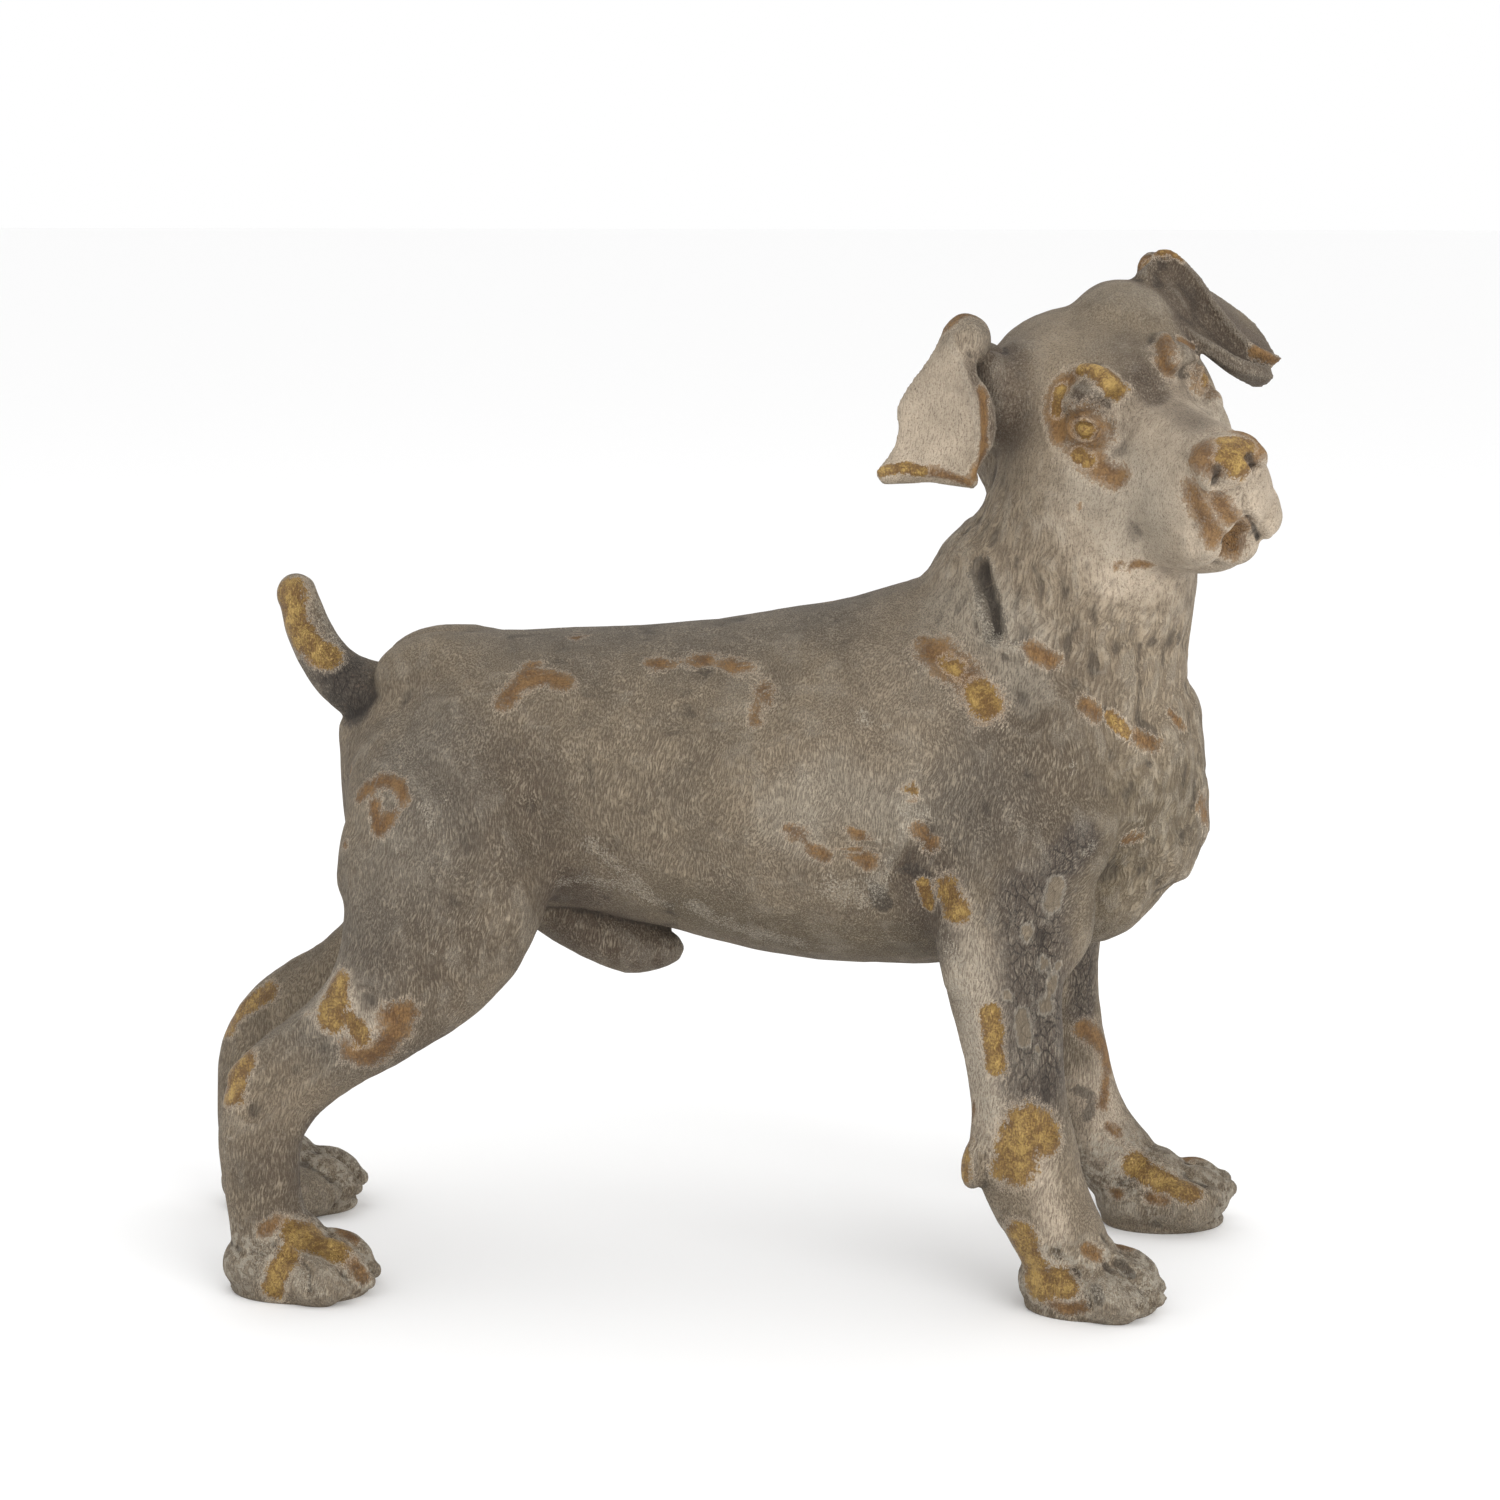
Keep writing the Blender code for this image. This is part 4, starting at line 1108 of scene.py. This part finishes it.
def combed_fur():
    """Hair lines: nearly upright on the body, leaning below the chest, wavy locks where Curls is 1."""
    inputs = [("Place", "NodeSocketVector"), ("Curls", "NodeSocketFloat"), ("Lean", "NodeSocketFloat")]
    group, start, end = new_group("combed_fur", inputs, [("Relief", "NodeSocketFloat")])
    place = bent(group, start.outputs["Place"], 0.05, (8, 8, 3))
    upright = combed(group, place, (0, 0.14, 0), (0.38, 0.38, 2.3), 2.0)
    leaning = combed(group, place, (0, 0.9, 0), (0.42, 0.42, 3.0), 2.0)
    flat = add(group, "ShaderNodeMix", {0: start.outputs["Lean"], 2: upright, 3: leaning}).outputs[0]
    place = bent(group, start.outputs["Place"], 0.09, (8, 8, 4))
    wavy = combed(group, place, (0, 0.1, 0), (0.75, 0.75, 4.6), 2.5)
    wavy = ramp(group, wavy, 0.30, 0.70, 0.30, 0.70)
    relief = add(group, "ShaderNodeMix", {0: start.outputs["Curls"], 2: flat, 3: wavy}).outputs[0]
    group.links.new(ramp(group, relief, 0.34, 0.66), end.inputs["Relief"])
    return group


def worn_patch():
    """A place where the paint is rubbed away: its ragged patch, its broken rim and its well-rubbed heart. It also
    shapes the dark marks of paint and painted shade.
    """
    inputs = [("Place", "NodeSocketVector"), ("Nearness", "NodeSocketFloat"), ("Relief", "NodeSocketFloat")]
    inputs.append(("Ragged", "NodeSocketFloat"))
    outputs = [("Patch", "NodeSocketFloat"), ("Rim", "NodeSocketFloat"), ("Heart", "NodeSocketFloat")]
    group, start, end = new_group("worn_patch", inputs, outputs)
    place = start.outputs["Place"]
    coarse = sum_of(group, "SUBTRACT", grain(group, place, 0.22, 3.0, 0.6).outputs["Fac"], 0.5)
    fine = sum_of(group, "SUBTRACT", grain(group, place, 1.3, 3.0, 0.7).outputs["Fac"], 0.5)
    combed_edge = sum_of(group, "SUBTRACT", start.outputs["Relief"], 0.5)
    torn = sum_of(group, "MULTIPLY_ADD", fine, 1.3, sum_of(group, "MULTIPLY", coarse, 1.3))
    torn = sum_of(group, "MULTIPLY_ADD", combed_edge, 0.3, torn)
    value = sum_of(group, "MULTIPLY_ADD", torn, start.outputs["Ragged"], start.outputs["Nearness"])
    patch = ramp(group, value, 0.0, 0.24)
    wide = ramp(group, value, -0.40, 0.0)
    group.links.new(patch, end.inputs["Patch"])
    group.links.new(sum_of(group, "SUBTRACT", wide, patch, clamp=True), end.inputs["Rim"])
    group.links.new(ramp(group, value, 0.25, 0.75), end.inputs["Heart"])
    return group


resin = bpy.data.materials.new("weathered_resin")
resin.use_nodes = True
tree = resin.node_tree
shader = tree.nodes["Principled BSDF"]
fur_group, patch_group = combed_fur(), worn_patch()


def field(name):
    return add(tree, "ShaderNodeAttribute", attribute_name=name).outputs["Fac"]


def times(first, second):
    return sum_of(tree, "MULTIPLY", first, second)


place = add(tree, "ShaderNodeTexCoord").outputs["Object"]
place = add(tree, "ShaderNodeVectorMath", {0: place, "Scale": 1000.0}, operation="SCALE").outputs[0]
clouds = grain(tree, place, 0.045, 5.0, 0.62).outputs["Fac"]
mottle = grain(tree, place, 0.22, 4.0, 0.6).outputs["Fac"]
stipple = grain(tree, place, 1.5, 3.0, 0.65).outputs["Fac"]
speckle = grain(tree, place, 3.2, 2.0, 0.6).outputs["Fac"]
grit = grain(tree, place, 1.9, 3.0, 0.8).outputs["Fac"]
curls, lean = ramp(tree, field("curls"), 0.0, 0.45), ramp(tree, field("lean"), 0.0, 0.5)
fur = add(tree, "ShaderNodeGroup", {"Place": place, "Curls": curls, "Lean": lean}, node_tree=fur_group)
bare = ramp(tree, field("bare"), 0.0, 0.35)
relief = add(tree, "ShaderNodeMix", {0: times(bare, 0.5), 2: fur.outputs["Relief"], 3: grit}).outputs[0]
ridges, grooves = ramp(tree, relief, 0.5, 0.85), ramp(tree, relief, 0.48, 0.12)


def washed(name, share, low=-0.35, high=0.75):
    """How thickly a thin wash lies: its zone, with a clouded edge. Some washes are painted shade and painted light."""
    cloud = sum_of(tree, "SUBTRACT", mottle, 0.5)
    return times(ramp(tree, sum_of(tree, "MULTIPLY_ADD", cloud, 0.8, field(name)), low, high), share)


stone, sand = (0.182, 0.143, 0.098, 1), (0.272, 0.214, 0.144, 1)
moss, plum = (0.136, 0.105, 0.061, 1), (0.078, 0.064, 0.056, 1)
pewter, umber = (0.180, 0.162, 0.135, 1), (0.072, 0.049, 0.033, 1)
cream, dust = (0.650, 0.532, 0.402, 1), (0.350, 0.288, 0.207, 1)
tan = (0.315, 0.246, 0.168, 1)
# The near-black serves dark paint and painted shade alike.
lime, soot_and_shade = (0.450, 0.400, 0.320, 1), (0.030, 0.024, 0.020, 1)
locks = ramp(tree, field("curls"), 0.0, 0.5)
paint = blend(tree, ramp(tree, clouds, 0.36, 0.64), stone, sand)
paint = blend(tree, washed("slate", 0.6), paint, pewter)
paint = blend(tree, washed("moss", 0.7), paint, moss)
paint = blend(tree, washed("tan", 0.75), paint, tan)
paint = blend(tree, washed("umber", 0.45), paint, umber)
# Pale and chalky washes: paint, and on the sides of the muzzle also painted light.
paint = blend(tree, times(washed("pale", 0.92), ramp(tree, clouds, 0.36, 0.60, 0.72, 1.0)), paint, cream)
paint = blend(tree, washed("chalky", 0.45, -0.2, 0.7), paint, lime)
paint = blend(tree, washed("plum", 0.80, -0.3, 0.45), paint, plum)
# Painted shade: the deep wash darkens the recesses with umber.
paint = blend(tree, washed("deep", 0.84, -0.2, 0.6), paint, umber)
paint = blend(tree, times(ramp(tree, mottle, 0.52, 0.30), ramp(tree, locks, 0.0, 1.0, 0.16, 0.32)), paint, umber)
paint = blend(tree, times(ramp(tree, mottle, 0.52, 0.72), ramp(tree, locks, 0.0, 1.0, 0.12, 0.30)), paint, lime)
paint = blend(tree, times(grooves, ramp(tree, locks, 0.0, 1.0, 0.56, 0.42)), paint, umber)
dry = ramp(tree, grain(tree, place, 0.11, 4.0, 0.65).outputs["Fac"], 0.40, 0.66, 0.22, 0.50)
paint = blend(tree, times(ridges, times(dry, ramp(tree, locks, 0.0, 1.0, 1.0, 0.5))), paint, dust)
paint = blend(tree, times(ramp(tree, grit, 0.52, 0.68), ramp(tree, bare, 0.0, 1.0, 0.16, 0.26)), paint, lime)
paint = blend(tree, times(ramp(tree, grit, 0.49, 0.32), ramp(tree, bare, 0.0, 1.0, 0.34, 0.50)), paint, umber)
grime = ramp(tree, field("grime"), 0.0, 0.5)
scale = grain(tree, place, 0.42, 4.0, 0.7).outputs["Fac"]
paint = blend(tree, times(grime, ramp(tree, scale, 0.48, 0.58, 0.0, 0.70)), paint, lime)
paint = blend(tree, times(grime, ramp(tree, scale, 0.45, 0.34, 0.0, 0.55)), paint, umber)
bark = add(tree, "ShaderNodeMapping", {0: place, 3: (2.3, 2.3, 4.2)}, vector_type="TEXTURE").outputs[0]
bark = add(tree, "ShaderNodeTexVoronoi", {"Vector": bark, "Scale": 1.0}, feature="DISTANCE_TO_EDGE")
cracks = times(ramp(tree, bark.outputs["Distance"], 0.10, 0.0), ramp(tree, field("plum"), 0.1, 0.6))
paint = blend(tree, times(cracks, ramp(tree, stipple, 0.40, 0.60, 0.3, 0.85)), paint, soot_and_shade)
# Painted shade: umber darkens the hollows of the skin.
paint = blend(tree, ramp(tree, field("hollow"), 0.25, 1.0, 0.0, 0.5), paint, umber)
# Painted shade: near-black darkens the fine creases.
paint = blend(tree, ramp(tree, field("crease"), 0.25, 1.0, 0.0, 0.5), paint, soot_and_shade)
proud = ramp(tree, field("crease"), -0.35, -1.0)
paint = blend(tree, times(proud, ramp(tree, speckle, 0.4, 0.6, 0.05, 0.32)), paint, lime)


def patch(name, ragged):
    made = add(tree, "ShaderNodeGroup", node_tree=patch_group)
    made.inputs["Ragged"].default_value = ragged
    tree.links.new(place, made.inputs["Place"])
    tree.links.new(field(name), made.inputs["Nearness"])
    tree.links.new(relief, made.inputs["Relief"])
    return made.outputs["Patch"], made.outputs["Rim"], made.outputs["Heart"]


# Dark paint, and painted shade in the neck crease, at the armpit and between the toes.
ragged_patch, edge, heart = patch("dark_paint_and_shade", 1.2)
paint = blend(tree, times(ragged_patch, 0.6), paint, soot_and_shade)
ragged_patch, edge, heart = patch("blotch", 0.55)
paint = blend(tree, times(edge, 0.45), paint, lime)
paint = blend(tree, times(ragged_patch, 0.6), paint, sand)
ragged_patch, edge, heart = patch("chalk", 1.7)
paint = blend(tree, times(ragged_patch, ramp(tree, grit, 0.47, 0.60, 0.02, 0.72)), paint, lime)

rust, honey = (0.145, 0.070, 0.024, 1), (0.275, 0.152, 0.055, 1)
gilt, bright = (0.200, 0.108, 0.032, 1), (0.520, 0.345, 0.115, 1)
streak = ramp(tree, sum_of(tree, "MULTIPLY_ADD", stipple, 0.8, times(mottle, 0.8)), 0.66, 0.96)
ragged_patch, edge, heart = patch("ochre", 1.0)
paint = blend(tree, times(edge, ramp(tree, speckle, 0.4, 0.6, 0.05, 0.5)), paint, cream)
paint = blend(tree, times(ragged_patch, ramp(tree, heart, 0.0, 1.0, 0.55, 0.92)), paint, blend(tree, streak, rust, honey))
leaf, edge, heart = patch("gold", 0.75)
paint = blend(tree, times(edge, ramp(tree, speckle, 0.4, 0.6, 0.1, 0.6)), paint, cream)
tone = blend(tree, streak, gilt, bright)
tone = blend(tree, ramp(tree, heart, 0.0, 1.0, 0.45, 0.0), tone, rust)
paint = blend(tree, times(leaf, 0.95), paint, tone)
paint = blend(tree, ramp(tree, field("shade"), 0.0, 0.6, 0.0, 0.72), paint, soot_and_shade)
tree.links.new(paint, shader.inputs["Base Color"])
metal = times(leaf, ramp(tree, streak, 0.0, 1.0, 0.15, 0.6))
tree.links.new(metal, shader.inputs["Metallic"])
tree.links.new(ramp(tree, leaf, 0.0, 1.0, 0.80, 0.42), shader.inputs["Roughness"])
shader.inputs["Specular IOR Level"].default_value = 0.35

height = times(relief, ramp(tree, bare, 0.0, 1.0, 0.52, 0.60))
height = sum_of(tree, "MULTIPLY_ADD", cracks, -0.35, height)
height = sum_of(tree, "MULTIPLY_ADD", stipple, 0.16, height)
height = sum_of(tree, "MULTIPLY_ADD", leaf, -0.10, height)
height = sum_of(tree, "MULTIPLY_ADD", edge, 0.05, height)
bump = add(tree, "ShaderNodeBump", {"Height": height, "Distance": 0.001, "Strength": 1.0})
tree.links.new(bump.outputs["Normal"], shader.inputs["Normal"])
figure.data.materials.clear()
figure.data.materials.append(resin)

# The floor, the light and the camera.
# A white table and backdrop in a bright room, with one large soft light from the front right, and the camera a
# little above the dog's back, square to its right side.


def white_paper(name, shade):
    paper = bpy.data.materials.new(name)
    paper.use_nodes = True
    shader = paper.node_tree.nodes["Principled BSDF"]
    shader.inputs["Base Color"].default_value = (shade, shade, shade, 1)
    shader.inputs["Roughness"].default_value = 0.9
    shader.inputs["Specular IOR Level"].default_value = 0.1
    return paper


form = bmesh.new()
bmesh.ops.create_grid(form, x_segments=1, y_segments=1, size=12.0)
mesh = bpy.data.meshes.new("table")
form.to_mesh(mesh)
form.free()
table = bpy.data.objects.new("table", mesh)
bpy.context.scene.collection.objects.link(table)
mesh.materials.append(white_paper("white_table", 0.97))


def soft_light(name, place, target, width, height, watts):
    lamp = bpy.data.lights.new(name, "AREA")
    lamp.shape = "RECTANGLE"
    lamp.size = width
    lamp.size_y = height
    lamp.energy = watts
    lit = bpy.data.objects.new(name, lamp)
    lit.location = place
    lit.rotation_euler = (Vector(target) - Vector(place)).to_track_quat("-Z", "Y").to_euler()
    bpy.context.scene.collection.objects.link(lit)


soft_light("key", (1.1, -1.3, 0.7), (0, 0, 0.15), 1.2, 1.2, 14)
soft_light("top", (-0.2, 0.1, 1.6), (0, 0, 0.1), 1.8, 1.8, 4)
world = bpy.data.worlds.new("bright_room")
world.use_nodes = True
world.node_tree.nodes["Background"].inputs["Color"].default_value = (1, 1, 1, 1)
world.node_tree.nodes["Background"].inputs["Strength"].default_value = 1.0
bpy.context.scene.world = world

yaw, pitch = math.radians(4.0), math.radians(11.0)
away = Vector((math.sin(yaw) * math.cos(pitch), -math.cos(yaw) * math.cos(pitch), math.sin(pitch)))
lens = bpy.data.cameras.new("camera")
lens.sensor_width = 36.0
lens.lens = 3095 / 1500 * 36
lens.clip_start = 0.05
camera = bpy.data.objects.new("camera", lens)
camera.location = Vector((0, 0, 0.155)) + shift + away * 0.9
camera.rotation_euler = (-away).to_track_quat("-Z", "Y").to_euler()
bpy.context.scene.collection.objects.link(camera)
bpy.context.scene.camera = camera
bpy.context.scene.view_settings.view_transform = "Standard"
